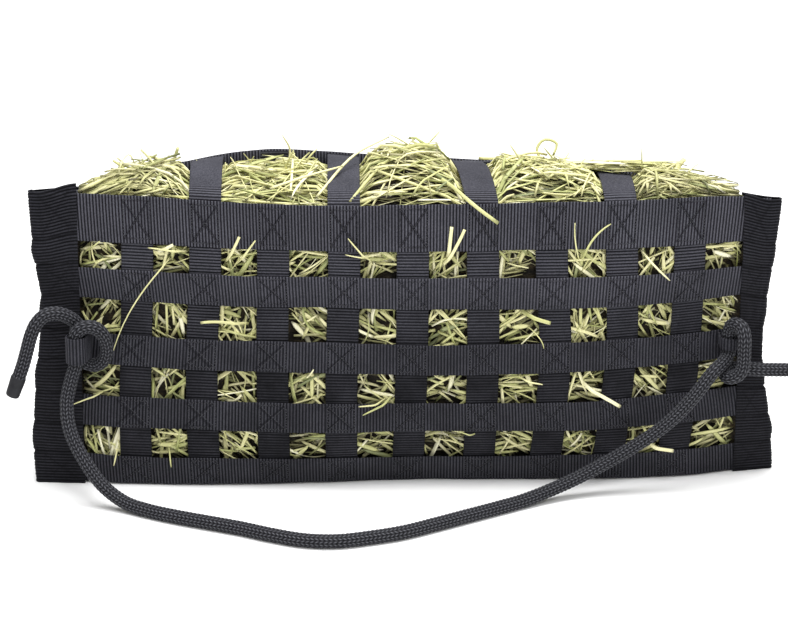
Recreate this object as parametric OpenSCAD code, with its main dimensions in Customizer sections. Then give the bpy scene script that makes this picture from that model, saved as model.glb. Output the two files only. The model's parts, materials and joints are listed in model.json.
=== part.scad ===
// Slow-feed hay bag: a flat envelope of sewn webbing straps, stuffed with hay,
// with a rope tied through a webbing loop at each end.
// Millimetres. +X runs along the bag, the feeding face looks towards -Y, +Z is up.
// The bag stands on z = 0.

/* [Webbing] */
// Width of the narrow straps
strap_w = 25.4; // [22:0.1:28]
// Width of the top bands, and of each half of a folded end band
band_w = 38.1; // [34:0.1:42]
// Thickness of all the webbing
web_t = 1.6; // [1.2:0.1:2]
// Play left between two layers of webbing
play = 0.3; // [0.2:0.1:0.5]

/* [Grid] */
// Number of upright straps
upright_count = 9; // [7:2:9]
// Centre distance of the upright straps
column_pitch = 54; // [50:1:58]
// How far the middle upright stands from the middle of the bag
column_shift = 5.5; // [0:0.5:6]
// Openings between the horizontal straps, from the bottom row to the top row
row_gaps = [24.5, 25.2, 28.8, 21.6]; // [20:0.1:30]

/* [Bag] */
// Length over both end bands
bag_length = 598; // [590:1:610]
// How far the feeding face bulges in front of the end seams
front_bulge = 36; // [25:1:45]
// How far the back face bulges behind the end seams
back_bulge = 87; // [60:1:95]
// How far the back top band rises where the hay pushes it up
back_rise = 9; // [0:1:12]
// Width of the left end band
left_band_w = 41.5; // [36:0.5:44]
// Width of the right end band
right_band_w = 33.5; // [31:0.5:44]

/* [Hay] */
// Height of the heaped hay's highest part above the inside of the top edge
heap_rise = 34; // [24:1:36]
// Play between the hay and the straps
hay_play = 1.2; // [1:0.1:2]

/* [Rope] */
// Diameter of the rope
rope_d = 11.2; // [10:0.1:12]
// Diameter of the sleeve on each rope end
tip_d = 12; // [11.4:0.1:12.6]
// Length of the sleeve on each rope end
tip_l = 16; // [12:1:20]

/* [Hidden] */

web_color = "#2b2a33";
rope_color = "#3a3a40";
tip_color = "#34363c";
hay_color = "#c8c27a";

// Heights of the strap edges: [lower, upper] for the bottom strap up to the top band.
lift = 1.7;
row_low = [for (i = [0:4]) lift + i * strap_w + sum_to(row_gaps, i)];
rows = [for (i = [0:4]) [row_low[i], row_low[i] + (i == 4 ? band_w : strap_w)]];
bag_h = rows[4][1];

// The two faces meet at the ends in the plane y = seam_y, which centres the bag on Y. The
// hay swells the feeding face out by swell_out beyond its bulge.
swell_out = 3;
seam_y = -(back_bulge - front_bulge - swell_out) / 2;
wrap_t = 2 * web_t + 2 * play;
tip_x = bag_length / 2 - wrap_t;

// Side profile of each face as a share of its bulge, at equal steps of height.
front_shape = [0.31, 0.70, 0.92, 0.99, 1.00, 0.97, 0.94, 0.89, 0.86];
back_shape = [0.42, 0.72, 0.88, 0.96, 1.00, 0.99, 0.97, 0.95, 0.93];

// How far each end is pulled in, at equal steps of height.
left_pinch = [1, 0, 1.5, 4, 7.5, 10, 6.5, 4, 2.5];
right_pinch = [0, 2.5, 6.5, 11.5, 12.5, 11, 8, 5, 2.5];

// How far the hay swells the feeding face out of its even shape: one row of values along
// the bag, left to right, for each of five equal steps of height, from the bottom up.
swell = [
    [11, 11, 11, 6, 0, 1, 4, 3, -6],
    [7, 6, 2, 3, 0, 2, 6, 4, 0],
    [-2, -3, -1, -2, 2, 5, 6, 1, -2],
    [1, -3, -2, -3, 2, 3, 8, 9, 2],
    [-3, -11, -3, 2, 0, 0, 2, 3, 2]
];

// Sideways wander of each upright on the feeding face, at the same steps of height.
sway = [
    [-5, -5, -3, -0.5, 0],
    [-4, -5.5, -4.5, -1, 0],
    [-2.5, -3, -3, -1.5, -1],
    [-2.5, -3, -2, 0, 0],
    [-4, -2.5, -1, -0.5, 0],
    [-1.5, 0, 1, 0.5, 0],
    [-3, 1, 4, 0.5, -0.5],
    [-6, -2, 3, 1.5, 0.5],
    [-8, -3, 0.5, 1, 1.5]
];

// The top edge hangs down towards the right end, and the back's towards both ends.
end_drop = 7;
back_droop = 5;

// Top edge of the end bands above the top bands, [left, right]: at the front's inner edge,
// at the back's inner edge and at the fold.
fold_front = [8, 1.5];
fold_back = [-2.5, -5.5];
fold_tip = [0.5, -7.5];

// Share of its full height that the heaped hay has, at equal steps along the bag over
// heap_reach to either side of the middle.
heap_reach = 262;
heap_shape = [0.35, 0.75, 0.68, 0.50, 0.70, 1.00, 0.80, 0.74, 0.70, 0.68, 0.25];

// Steps along the straps.
long_steps = 60;
hay_steps = 44;
wall_steps = 18;
band_steps = 20;
fold_steps = 6;

// Upright straps and the straps over the open top, which stand on every second upright.
upright_x = [for (i = [1:upright_count])
    column_shift + (i - (upright_count + 1) / 2) * column_pitch];
top_strap_x = [for (i = [1:2:upright_count - 2]) upright_x[i]];
top_strap_lean = [0, 0, -12, -4];
top_strap_arc = [13, 13, 13, 9];
bend_h = 14;
bend_run = 9;
tab_low = bag_h - 34;

// Webbing loops that hold the rope: the middle of each pass of the rope through them,
// and the height of the webbing, which is bunched up.
left_loop = [[-260, -56, 122], [-256, -44.7, 122]];
right_loop = [[256.5, -45, 120.5]];
left_loop_h = 22;
right_loop_h = 10;
loop_play = 0.6;
plate_w = 24;

// Rope from inside the left loop, down to the floor, up to the right loop, round the
// knot and out to its right end.
hanging_route = [
    [-260, -56, 122], [-260, -56, 111], [-264, -58, 98], [-268, -63, 79],
    [-265.5, -71, 59], [-255, -80, 38.5], [-240, -88, 19], [-222.5, -96, 8],
    [-203, -107, 5.6], [-180, -119, 5.6], [-155, -130, 5.6], [-130, -141, 5.6],
    [-105, -154, 5.6], [-80, -164, 5.6], [-55, -166, 5.6], [-30, -160, 5.6],
    [-5, -151, 5.6], [20, -137, 5.6], [45, -122, 5.6], [70, -107, 5.6],
    [92, -94, 6.1], [113, -83, 9.6], [134, -75, 16], [155, -71, 26],
    [176, -69, 38], [196, -67.5, 51], [213.5, -66.5, 66], [226.5, -65, 80.5],
    [236, -63, 93], [242.5, -60, 100.5], [249, -54.5, 104.5], [253.2, -49.4, 107],
    [255.6, -46.1, 110.8], [256.5, -45, 115.5], [256.5, -45, 130.5], [257.5, -47, 135],
    [261, -52, 138], [265, -57, 136], [266.5, -60.5, 129.5], [266.5, -61.5, 121],
    [266.5, -61.5, 111], [265.5, -61.5, 103.5], [262, -60.5, 98], [257, -57.5, 95],
    [253.5, -52, 94.5], [253.5, -46, 95.5], [257.5, -41.2, 96], [264, -39.8, 96], [273, -41.5, 96],
    [282, -43.5, 96], [294, -44, 96], [308, -45, 96], [321, -46, 94], [333, -47, 88],
    [343, -48, 79], [350, -49, 67]
];

// Rope from inside the left loop, up and round the ring, up through the loop again
// behind itself, over the top of the knot and down to its left end.
left_route = [
    [-260, -56, 122], [-260, -56, 132.5], [-256.5, -56.5, 138.5], [-250, -56, 141],
    [-243, -54.5, 138.5], [-238, -52.5, 131.5], [-236, -50, 121], [-238.5, -47.5, 110.5],
    [-245, -45.4, 104.5], [-252, -44.5, 105.5], [-256, -44.7, 111.5], [-256, -44.7, 122],
    [-256, -44.7, 132.5], [-259.5, -46.5, 140.5], [-266.5, -50, 147.5],
    [-275, -53.5, 151.5], [-283.5, -56, 150.5], [-290, -58, 144.5], [-294.5, -59.2, 135],
    [-298, -60, 123], [-301.5, -60.7, 111], [-305.5, -61.3, 100]
];
rope_sides = 10;

// ---- Arithmetic -------------------------------------------------------------------

function sum_to(list, n) = n == 0 ? 0 : list[n - 1] + sum_to(list, n - 1);
function mix(a, b, t) = a + (b - a) * t;
function clamp(v, low, high) = min(max(v, low), high);
function ease(v, low, high) =
    let (t = clamp((v - low) / (high - low), 0, 1)) t * t * (3 - 2 * t);
function unit(v) = v / norm(v);
function reversed(list) = [for (k = [len(list) - 1:-1:0]) list[k]];

// Smooth curve through values at equal steps, read at t from 0 to 1.
function along(values, t) =
    let (n = len(values) - 1,
         i = min(floor(clamp(t, 0, 1) * n), n - 1),
         f = clamp(t, 0, 1) * n - i,
         a = values[max(i - 1, 0)],
         b = values[i],
         c = values[i + 1],
         d = values[min(i + 2, n)])
    b + f * ((c - a) / 2 + f * (a - 2.5 * b + 2 * c - d / 2
        + f * ((3 * (b - c) + d - a) / 2)));

// ---- Surface of the bag -----------------------------------------------------------
// side is -1 for the feeding face and 1 for the back. The surface is the inside of the
// upright straps; everything else lies a stated distance outside or inside it.

// Distance of an end seam from the middle; end is negative left and positive right.
function end_x(end, z) = tip_x - along(end < 0 ? left_pinch : right_pinch, z / bag_h);

function swell_at(s, t) = along([for (row = swell) along(row, (s + 1) / 2)], t);
function front_plan(s) = 1 - pow(min(abs(s), 1), 2.2);
function back_plan(s) =
    pow(1 - pow(min(abs(s + 0.12 * (1 - s * s)), 1), 2.4), 1.35);

// Where the two faces meet at an end.
function seam(end, z) = seam_y - swell_at(end < 0 ? -1 : 1, z / bag_h);

function face_y(side, x, z) =
    let (s = clamp(x / end_x(x, z), -1, 1), t = z / bag_h)
    side < 0
        ? seam_y - front_bulge * along(front_shape, t) * front_plan(s) - swell_at(s, t)
        : seam_y + back_bulge * along(back_shape, t) * back_plan(s)
            - swell_at(s < 0 ? -1 : 1, t) * pow(abs(s), 3);

// Rise of the back's top edge and drop of the ends', full above and fading out down the
// face.
function rise(side, x, z) =
    pow(clamp(z / bag_h, 0, 1), 4)
    * (max(side, 0) * (back_rise * exp(-pow((x + 115) / 75, 2))
            - back_droop * ease(abs(x), 190, 262))
        - end_drop * ease(x, tip_x - 60, tip_x));

// Lean of a face: how far it runs along Y for each millimetre of height.
function lean(side, x, z) = (face_y(side, x, z + 1) - face_y(side, x, z - 1)) / 2;

// Point on a face moved out by d along the face's normal in the section.
function face_point(side, x, z, d) =
    let (n = side * unit([1, -lean(side, x, z)]))
    [x, face_y(side, x, z) + d * n[0], z + rise(side, x, z) + d * n[1]];

// The horizontal straps lie outside the uprights and close up at the ends.
first_x = upright_x[0] - strap_w / 2;
last_x = upright_x[upright_count - 1] + strap_w / 2;
function lay(x) =
    play + web_t * (ease(x, first_x - 30, first_x - 2)
        - ease(x, last_x + 2, last_x + 30));

// ---- Solids from rings ------------------------------------------------------------

// Cap of one end ring, as a strip between its first half and its second half.
function cap_faces(start, sides, turn) =
    [for (k = [0:sides / 2 - 2], half = [0, 1])
        let (far = sides - 1 - k,
             f = half == 0 ? [k, k + 1, far - 1] : [k, far - 1, far])
        [for (j = turn ? [2, 1, 0] : [0, 1, 2]) start + f[j]]];

function side_faces(count, sides) =
    [for (i = [0:count - 2], k = [0:sides - 1], half = [0, 1])
        let (a = i * sides + k,
             b = i * sides + (k + 1) % sides)
        half == 0 ? [a, a + sides, b] : [b, a + sides, b + sides]];

// Skin over rings of one even length; each ring runs the same way round.
module skin(rings) {
    sides = len(rings[0]);
    polyhedron(
        points = [for (ring = rings, p = ring) p],
        faces = concat(
            cap_faces(0, sides, false),
            side_faces(len(rings), sides),
            cap_faces((len(rings) - 1) * sides, sides, true)
        ),
        convexity = 8
    );
}

// ---- Straps -----------------------------------------------------------------------

// Strap along the bag between two heights on one face.
module face_strap(side, low, high) {
    middle = (low + high) / 2;
    rings = [for (i = [0:long_steps])
        let (s = mix(-1, 1, i / long_steps))
        concat(
            [for (z = [low, middle, high])
                let (x = s * (end_x(s, z) - 5)) face_point(side, x, z, lay(x))],
            [for (z = [high, middle, low])
                let (x = s * (end_x(s, z) - 5)) face_point(side, x, z, lay(x) + web_t)]
        )];
    skin(side < 0 ? rings : [for (ring = rings) reversed(ring)]);
}

// Place along the bag of upright i, edge away from its middle, at a height on a face.
function upright_at(i, edge, side, z) =
    upright_x[i] + edge
    + (side < 0
        ? along(sway[i], z / bag_h)
        : along(sway[i], bend_h / bag_h) * (1 - ease(z, bend_h, 0.8 * bag_h)));

// Path of an upright's inside, down one face, under the hay and up the other.
function upright_path(i, edge, d) =
    let (top = bag_h - 1,
         x = upright_at(i, edge, -1, bend_h),
         front_foot = foot(-1, x),
         back_foot = foot(1, x))
    concat(
        [for (k = [0:wall_steps])
            let (z = mix(top, bend_h, k / wall_steps))
            face_point(-1, upright_at(i, edge, -1, z), z, d)],
        [for (t = [0.25, 0.5, 0.75, 1]) bend(-1, x, front_foot, t, d)],
        [for (t = [1, 0.75, 0.5, 0.25]) bend(1, x, back_foot, t, d)],
        [for (k = [0:wall_steps])
            let (z = mix(bend_h, top, k / wall_steps))
            face_point(1, upright_at(i, edge, 1, z), z, d)]
    );

// Where a face, carried straight on below bend_h, would meet the inside of the bottom.
function foot(side, x) =
    face_y(side, x, bend_h) - lean(side, x, bend_h) * (bend_h - web_t);

// Round corner from the face into the flat bottom, moved out by d.
function bend(side, x, foot_y, t, d) =
    let (a = [face_y(side, x, bend_h), bend_h],
         b = [foot_y, web_t],
         c = [foot_y - side * bend_run, web_t],
         p = mix(mix(a, b, t), mix(b, c, t), t),
         g = unit(mix(b - a, c - b, t)),
         n = side * [-g[1], g[0]])
    [x, p[0] + d * n[0], p[1] + d * n[1]];

// Strap whose inside follows two paths, one along each edge.
module ribbon(left, right, left_far, right_far) {
    skin([for (i = [0:len(left) - 1]) [left[i], right[i], right_far[i], left_far[i]]]);
}

module upright(i) {
    edge = strap_w / 2;
    ribbon(upright_path(i, -edge, 0), upright_path(i, edge, 0),
        upright_path(i, -edge, web_t), upright_path(i, edge, web_t));
}

// Strap over the open top, tucked inside the uprights at both ends. d is how far the
// path lies inside or below the outer face.
function top_path(x, shift, arc, d) =
    let (in = -play - d,
         top = bag_h - 2,
         front = face_point(-1, x, top, in),
         back = face_point(1, x + shift, top, in),
         depth = back[1] - front[1])
    concat(
        [for (z = [tab_low, tab_low + 12, bag_h - 12]) face_point(-1, x, z, in)],
        [[x, front[1] + 1, front[2] - 3 - d / 2]],
        [for (i = [1:15])
            let (q = i / 16)
            [x + shift * q, front[1] + depth * q,
             mix(front[2], back[2], q) + arc * pow(sin(180 * q), 0.8) - d]],
        [[x + shift, back[1] - 1, back[2] - 3 - d / 2]],
        [for (z = [bag_h - 12, tab_low + 12, tab_low]) face_point(1, x + shift, z, in)]
    );

module top_strap(x, shift, arc) {
    left = x - strap_w / 2;
    right = x + strap_w / 2;
    ribbon(top_path(left, shift, arc, 0), top_path(right, shift, arc, 0),
        top_path(left, shift, arc, web_t), top_path(right, shift, arc, web_t));
}

// Wide webbing folded lengthwise round one end of the bag. end is -1 left, 1 right.
function fold_outline(end, width, t, d) =
    let (edge = end_x(end, bag_h * t),
         middle = seam(end, bag_h * t),
         inner = bag_length / 2 - width,
         out = [for (i = [0:fold_steps]) mix(inner, edge, i / fold_steps)])
    concat(
        [for (x = out) fold_point(end, -1, x, t, d)],
        [for (i = [1:fold_steps - 1])
            let (a = 180 * i / fold_steps)
            fold_end(end, edge + d * sin(a), middle - d * cos(a), t)],
        [for (i = [fold_steps:-1:0]) fold_point(end, 1, out[i], t, d)]
    );

function fold_height(end, side, x, t) =
    let (k = end < 0 ? 0 : 1,
         inner = side < 0 ? fold_front[k] : fold_back[k])
    mix(0.2, bag_h + mix(inner, fold_tip[k], ease(x, tip_x - 38, tip_x - 6)), t);
function fold_point(end, side, x, t, d) =
    let (h = fold_height(end, side, x, t),
         z = clamp(h - rise(side, end * x, h), 0, bag_h))
    [end * x, face_y(side, end * x, z) + side * d * norm([1, lean(side, end * x, z)]), h];
function fold_end(end, x, y, t) = [end * x, y, fold_height(end, 1, x, t)];

module end_band(end, width) {
    inside = play + web_t + play;
    outside = inside + web_t;
    rings = [for (i = [0:band_steps])
        concat(
            fold_outline(end, width, i / band_steps, outside),
            reversed(fold_outline(end, width, i / band_steps, inside))
        )];
    skin(end < 0 ? [for (ring = rings) reversed(ring)] : rings);
}

// ---- Rope loops -------------------------------------------------------------------

// Webbing closed round the passes of the rope, with its sewn end behind it. plate_x is
// where that end's middle lies.
module rope_loop(passes, height, plate_x) {
    hole_r = rope_d / 2 + loop_play;
    outer_r = hole_r + web_t;
    first = passes[0];
    last = passes[len(passes) - 1];
    low = first[2] - height / 2;
    translate([0, 0, low])
    linear_extrude(height)
    difference() {
        union() {
            loop_outline(first, last, outer_r);
            translate([plate_x - plate_w / 2, last[1] + outer_r - 0.2])
                square([plate_w, web_t]);
        }
        loop_outline(first, last, hole_r);
    }
}

// Outline that holds both passes at the distance r.
module loop_outline(first, last, r) {
    hull() {
        translate([first[0], first[1]]) circle(r = r, $fn = 36);
        translate([last[0], last[1]]) circle(r = r, $fn = 36);
    }
}

// ---- Rope -------------------------------------------------------------------------

function rope_ring(route, i) =
    let (last = len(route) - 1,
         g = unit(route[min(i + 1, last)] - route[max(i - 1, 0)]),
         y = [0, 1, 0],
         u = unit(y - (y * g) * g),
         w = cross(g, u))
    [for (k = [0:rope_sides - 1])
        let (a = 360 * k / rope_sides)
        route[i] + rope_d / 2 * (cos(a) * u + sin(a) * w)];

module rope(route) {
    skin([for (i = [0:len(route) - 1]) rope_ring(route, i)]);
}

// Sealed sleeve that carries the rope on past the end of its route.
module rope_tip(route) {
    last = len(route) - 1;
    g = unit(route[last] - route[last - 1]);
    translate(route[last])
    rotate([0, acos(g[2]), atan2(g[1], g[0])])
    cylinder(d = tip_d, h = tip_l, $fn = 32);
}

// ---- Hay --------------------------------------------------------------------------

// 1 under a strap over the top, 0 well away from all of them.
function under_strap(x, q) =
    max([for (i = [0:len(top_strap_x) - 1])
        1 - ease(abs(x - top_strap_x[i] - top_strap_lean[i] * q), 14, 29)]);

function heap_z(x, q) =
    let (hump = pow(max(sin(180 * q), 0), 0.8),
         full = heap_rise * along(heap_shape, 0.5 + x / (2 * heap_reach)),
         held = min(full, 9),
         billow = 1 + 0.05 * sin(x * 1.9) + 0.04 * sin(x * 4.3 + 60))
    bag_h - 7 + hump * mix(full * billow, held, under_strap(x, q));

function hay_inset(z) = hay_play + (web_t + play + 0.3) * ease(z, tab_low - 14, tab_low - 4);

function hay_wall(side, x, z) =
    face_point(side, x, z, -hay_inset(z));

function hay_ring(x) =
    let (top = bag_h - 7,
         low = 17,
         front = hay_wall(-1, x, top),
         back = hay_wall(1, x, top),
         front_low = hay_wall(-1, x, low),
         back_low = hay_wall(1, x, low),
         floor_z = web_t + hay_play + 3 * ease(abs(x), 120, 230))
    concat(
        [for (i = [0:9]) hay_wall(-1, x, mix(low, top, i / 9))],
        [for (i = [1:11])
            let (q = i / 12)
            [x, mix(front[1], back[1], q), heap_z(x, q) + rise(1, x, top) * q / 2]],
        [for (i = [9:-1:0]) hay_wall(1, x, mix(low, top, i / 9))],
        [for (q = [0.72, 0.5, 0.28]) [x, mix(front_low[1], back_low[1], q), floor_z]]
    );

// ---- Nodes ------------------------------------------------------------------------

module front_row(row) { color(web_color) face_strap(-1, rows[row][0], rows[row][1]); }
module back_row(row) { color(web_color) face_strap(1, rows[row][0], rows[row][1]); }
module upright_strap(i) { color(web_color) upright(i - 1); }
module cross_strap(i) {
    color(web_color)
    top_strap(top_strap_x[i - 1], top_strap_lean[i - 1], top_strap_arc[i - 1]);
}
module left_end_band() { color(web_color) end_band(-1, left_band_w); }
module right_end_band() { color(web_color) end_band(1, right_band_w); }
module left_rope_loop() { color(web_color) rope_loop(left_loop, left_loop_h, -265); }
module right_rope_loop() { color(web_color) rope_loop(right_loop, right_loop_h, 263); }
module hanging_rope() { color(rope_color) rope(hanging_route); }
module rope_left_tail() { color(rope_color) rope(left_route); }
module left_rope_end() { color(tip_color) rope_tip(left_route); }
module right_rope_end() { color(tip_color) rope_tip(hanging_route); }
module hay_fill() {
    left = left_band_w - bag_length / 2;
    right = bag_length / 2 - right_band_w - 2;
    color(hay_color)
    skin([for (i = [0:hay_steps]) reversed(hay_ring(mix(left, right, i / hay_steps)))]);
}

front_row(4);  // front_top_band
front_row(3);  // front_strap_2
front_row(2);  // front_strap_3
front_row(1);  // front_strap_4
front_row(0);  // front_strap_5
back_row(4);  // back_top_band
back_row(3);  // back_strap_2
back_row(2);  // back_strap_3
back_row(1);  // back_strap_4
back_row(0);  // back_strap_5
upright_strap(1);  // upright_strap_1
upright_strap(2);  // upright_strap_2
upright_strap(3);  // upright_strap_3
upright_strap(4);  // upright_strap_4
upright_strap(5);  // upright_strap_5
upright_strap(6);  // upright_strap_6
upright_strap(7);  // upright_strap_7
upright_strap(8);  // upright_strap_8
upright_strap(9);  // upright_strap_9
cross_strap(1);  // top_strap_1
cross_strap(2);  // top_strap_2
cross_strap(3);  // top_strap_3
cross_strap(4);  // top_strap_4
left_end_band();
right_end_band();
left_rope_loop();
right_rope_loop();
hanging_rope();
rope_left_tail();
left_rope_end();
right_rope_end();
hay_fill();
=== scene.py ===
"""Looks of a slow-feed hay bag of sewn webbing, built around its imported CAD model. Metres."""

import json
import math

import bpy
import numpy as np
from mathutils import Vector
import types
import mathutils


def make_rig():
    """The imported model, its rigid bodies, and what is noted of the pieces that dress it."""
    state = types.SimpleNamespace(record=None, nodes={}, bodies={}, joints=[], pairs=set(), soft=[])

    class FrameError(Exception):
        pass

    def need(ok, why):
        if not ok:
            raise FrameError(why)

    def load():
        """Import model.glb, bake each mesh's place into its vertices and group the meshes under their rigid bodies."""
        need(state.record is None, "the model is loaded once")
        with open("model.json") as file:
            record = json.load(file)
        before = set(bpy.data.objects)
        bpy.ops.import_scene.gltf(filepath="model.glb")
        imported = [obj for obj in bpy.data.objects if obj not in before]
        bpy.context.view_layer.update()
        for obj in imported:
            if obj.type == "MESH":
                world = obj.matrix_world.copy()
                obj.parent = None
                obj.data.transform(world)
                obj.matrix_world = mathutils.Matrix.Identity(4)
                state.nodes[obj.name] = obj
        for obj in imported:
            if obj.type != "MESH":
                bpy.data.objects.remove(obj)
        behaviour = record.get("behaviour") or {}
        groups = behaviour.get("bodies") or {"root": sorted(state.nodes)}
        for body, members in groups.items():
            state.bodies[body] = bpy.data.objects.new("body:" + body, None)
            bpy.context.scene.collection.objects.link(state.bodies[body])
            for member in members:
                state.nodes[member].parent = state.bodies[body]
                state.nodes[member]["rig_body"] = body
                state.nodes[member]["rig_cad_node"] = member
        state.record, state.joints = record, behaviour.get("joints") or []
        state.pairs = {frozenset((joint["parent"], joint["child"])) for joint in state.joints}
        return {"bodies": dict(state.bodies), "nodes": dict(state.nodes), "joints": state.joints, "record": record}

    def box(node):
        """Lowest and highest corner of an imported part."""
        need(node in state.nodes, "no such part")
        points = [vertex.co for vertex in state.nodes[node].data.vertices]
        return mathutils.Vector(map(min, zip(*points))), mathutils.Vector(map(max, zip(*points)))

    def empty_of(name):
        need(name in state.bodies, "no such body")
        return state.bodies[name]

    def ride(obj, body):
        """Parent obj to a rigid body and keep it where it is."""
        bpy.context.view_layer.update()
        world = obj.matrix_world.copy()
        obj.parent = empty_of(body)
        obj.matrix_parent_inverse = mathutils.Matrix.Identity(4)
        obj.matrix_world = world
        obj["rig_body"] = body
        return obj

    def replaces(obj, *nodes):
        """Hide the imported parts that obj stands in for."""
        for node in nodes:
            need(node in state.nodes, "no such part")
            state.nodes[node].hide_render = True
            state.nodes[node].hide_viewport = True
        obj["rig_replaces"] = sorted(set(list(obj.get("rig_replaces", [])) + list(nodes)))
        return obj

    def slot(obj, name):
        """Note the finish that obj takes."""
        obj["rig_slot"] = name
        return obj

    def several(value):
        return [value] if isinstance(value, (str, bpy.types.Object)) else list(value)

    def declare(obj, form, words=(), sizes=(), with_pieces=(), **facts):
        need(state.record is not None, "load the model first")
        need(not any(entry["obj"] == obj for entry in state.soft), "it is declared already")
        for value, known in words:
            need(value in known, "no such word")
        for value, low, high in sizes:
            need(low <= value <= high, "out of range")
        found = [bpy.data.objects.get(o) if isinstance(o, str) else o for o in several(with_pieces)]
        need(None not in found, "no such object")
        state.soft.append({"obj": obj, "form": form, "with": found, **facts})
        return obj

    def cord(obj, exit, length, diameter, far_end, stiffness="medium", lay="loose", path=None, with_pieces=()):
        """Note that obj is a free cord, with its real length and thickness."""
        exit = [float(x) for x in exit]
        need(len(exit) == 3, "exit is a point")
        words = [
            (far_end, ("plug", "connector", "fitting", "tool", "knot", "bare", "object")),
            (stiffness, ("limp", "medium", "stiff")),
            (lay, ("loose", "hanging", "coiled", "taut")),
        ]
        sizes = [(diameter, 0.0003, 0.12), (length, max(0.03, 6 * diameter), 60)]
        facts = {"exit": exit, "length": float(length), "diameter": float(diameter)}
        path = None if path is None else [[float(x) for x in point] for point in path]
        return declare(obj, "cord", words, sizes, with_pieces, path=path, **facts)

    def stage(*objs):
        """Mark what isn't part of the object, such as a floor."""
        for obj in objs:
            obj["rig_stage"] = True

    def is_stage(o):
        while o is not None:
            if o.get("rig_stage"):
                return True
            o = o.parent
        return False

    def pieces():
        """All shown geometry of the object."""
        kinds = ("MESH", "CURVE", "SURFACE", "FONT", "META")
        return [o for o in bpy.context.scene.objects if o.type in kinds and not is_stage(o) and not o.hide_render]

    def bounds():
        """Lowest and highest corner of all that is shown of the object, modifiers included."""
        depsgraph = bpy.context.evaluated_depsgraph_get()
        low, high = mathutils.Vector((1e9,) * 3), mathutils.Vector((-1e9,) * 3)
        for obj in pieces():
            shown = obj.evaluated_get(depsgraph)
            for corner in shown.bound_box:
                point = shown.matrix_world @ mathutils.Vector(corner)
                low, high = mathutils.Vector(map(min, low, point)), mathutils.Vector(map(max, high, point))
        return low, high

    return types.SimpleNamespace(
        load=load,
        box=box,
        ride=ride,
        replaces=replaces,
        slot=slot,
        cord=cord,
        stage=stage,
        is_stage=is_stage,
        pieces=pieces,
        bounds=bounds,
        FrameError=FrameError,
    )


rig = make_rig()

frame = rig.load()
CAD_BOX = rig.bounds()

# ---- Driving dimensions, as in the CAD source ----

STRAP_W = 0.0254
WEB_T = 0.0016
PLAY = 0.0003
COLUMNS = 9
ROW_NAMES = ["strap_5", "strap_4", "strap_3", "strap_2", "top_band"]
COLUMN_PITCH = 0.054
COLUMN_SHIFT = 0.0055
FRONT_BULGE = 0.036
BACK_BULGE = 0.087
BACK_RISE = 0.009
SWELL_OUT = 0.003
END_DROP = 0.007
BACK_DROOP = 0.005
FOLD_FRONT = {-1: 0.008, 1: 0.0015}
FOLD_BACK = {-1: -0.0025, 1: -0.0055}
FOLD_TIP = {-1: 0.0005, 1: -0.0075}
FRONT_SHAPE = [0.31, 0.70, 0.92, 0.99, 1.00, 0.97, 0.94, 0.89, 0.86]
BACK_SHAPE = [0.42, 0.72, 0.88, 0.96, 1.00, 0.99, 0.97, 0.95, 0.93]
BEND_H = 0.014
BEND_RUN = 0.009
ROW_GAPS = [0.0245, 0.0252, 0.0288, 0.0216]
TOP_BAND_W = 0.0381
HEAP_RISE = 0.034
HEAP_REACH = 0.262
HEAP_SHAPE = [0.35, 0.75, 0.68, 0.50, 0.70, 1.00, 0.80, 0.74, 0.70, 0.68, 0.25]
LIFT = 0.0017
TOP_LEAN = [0, 0, -0.012, -0.004]
TOP_ARC = [0.013, 0.013, 0.013, 0.009]
ROPE_D = 0.0112
TIP_D = 0.012

ROW_LOW = [LIFT + i * STRAP_W + sum(ROW_GAPS[:i]) for i in range(5)]
ROWS = [(low, low + (TOP_BAND_W if i == 4 else STRAP_W)) for i, low in enumerate(ROW_LOW)]
BAG_H = ROWS[4][1]
SEAM_Y = -(BACK_BULGE - FRONT_BULGE - SWELL_OUT) / 2
BAG_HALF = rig.box("right_end_band")[1].x
TIP_X = BAG_HALF - 2 * WEB_T - 2 * PLAY
LEFT_INNER = -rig.box("left_end_band")[1].x
RIGHT_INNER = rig.box("right_end_band")[0].x
UPRIGHT_X = [COLUMN_SHIFT + (i - (COLUMNS - 1) / 2) * COLUMN_PITCH for i in range(COLUMNS)]
TOP_STRAP_X = UPRIGHT_X[1::2]
TAB_LOW = BAG_H - 0.034

# The same millimetre values as in the CAD source: the ends pulled in, the hay's swelling and
# the wander of the uprights, at equal steps of height, and the routes of the rope.
LEFT_PINCH = [1, 0, 1.5, 4, 7.5, 10, 6.5, 4, 2.5]
RIGHT_PINCH = [0, 2.5, 6.5, 11.5, 12.5, 11, 8, 5, 2.5]
SWELL = [
    [11, 11, 11, 6, 0, 1, 4, 3, -6],
    [7, 6, 2, 3, 0, 2, 6, 4, 0],
    [-2, -3, -1, -2, 2, 5, 6, 1, -2],
    [1, -3, -2, -3, 2, 3, 8, 9, 2],
    [-3, -11, -3, 2, 0, 0, 2, 3, 2],
]
SWAY = [
    [-5, -5, -3, -0.5, 0], [-4, -5.5, -4.5, -1, 0], [-2.5, -3, -3, -1.5, -1],
    [-2.5, -3, -2, 0, 0], [-4, -2.5, -1, -0.5, 0], [-1.5, 0, 1, 0.5, 0],
    [-3, 1, 4, 0.5, -0.5], [-6, -2, 3, 1.5, 0.5], [-8, -3, 0.5, 1, 1.5],
]
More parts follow.
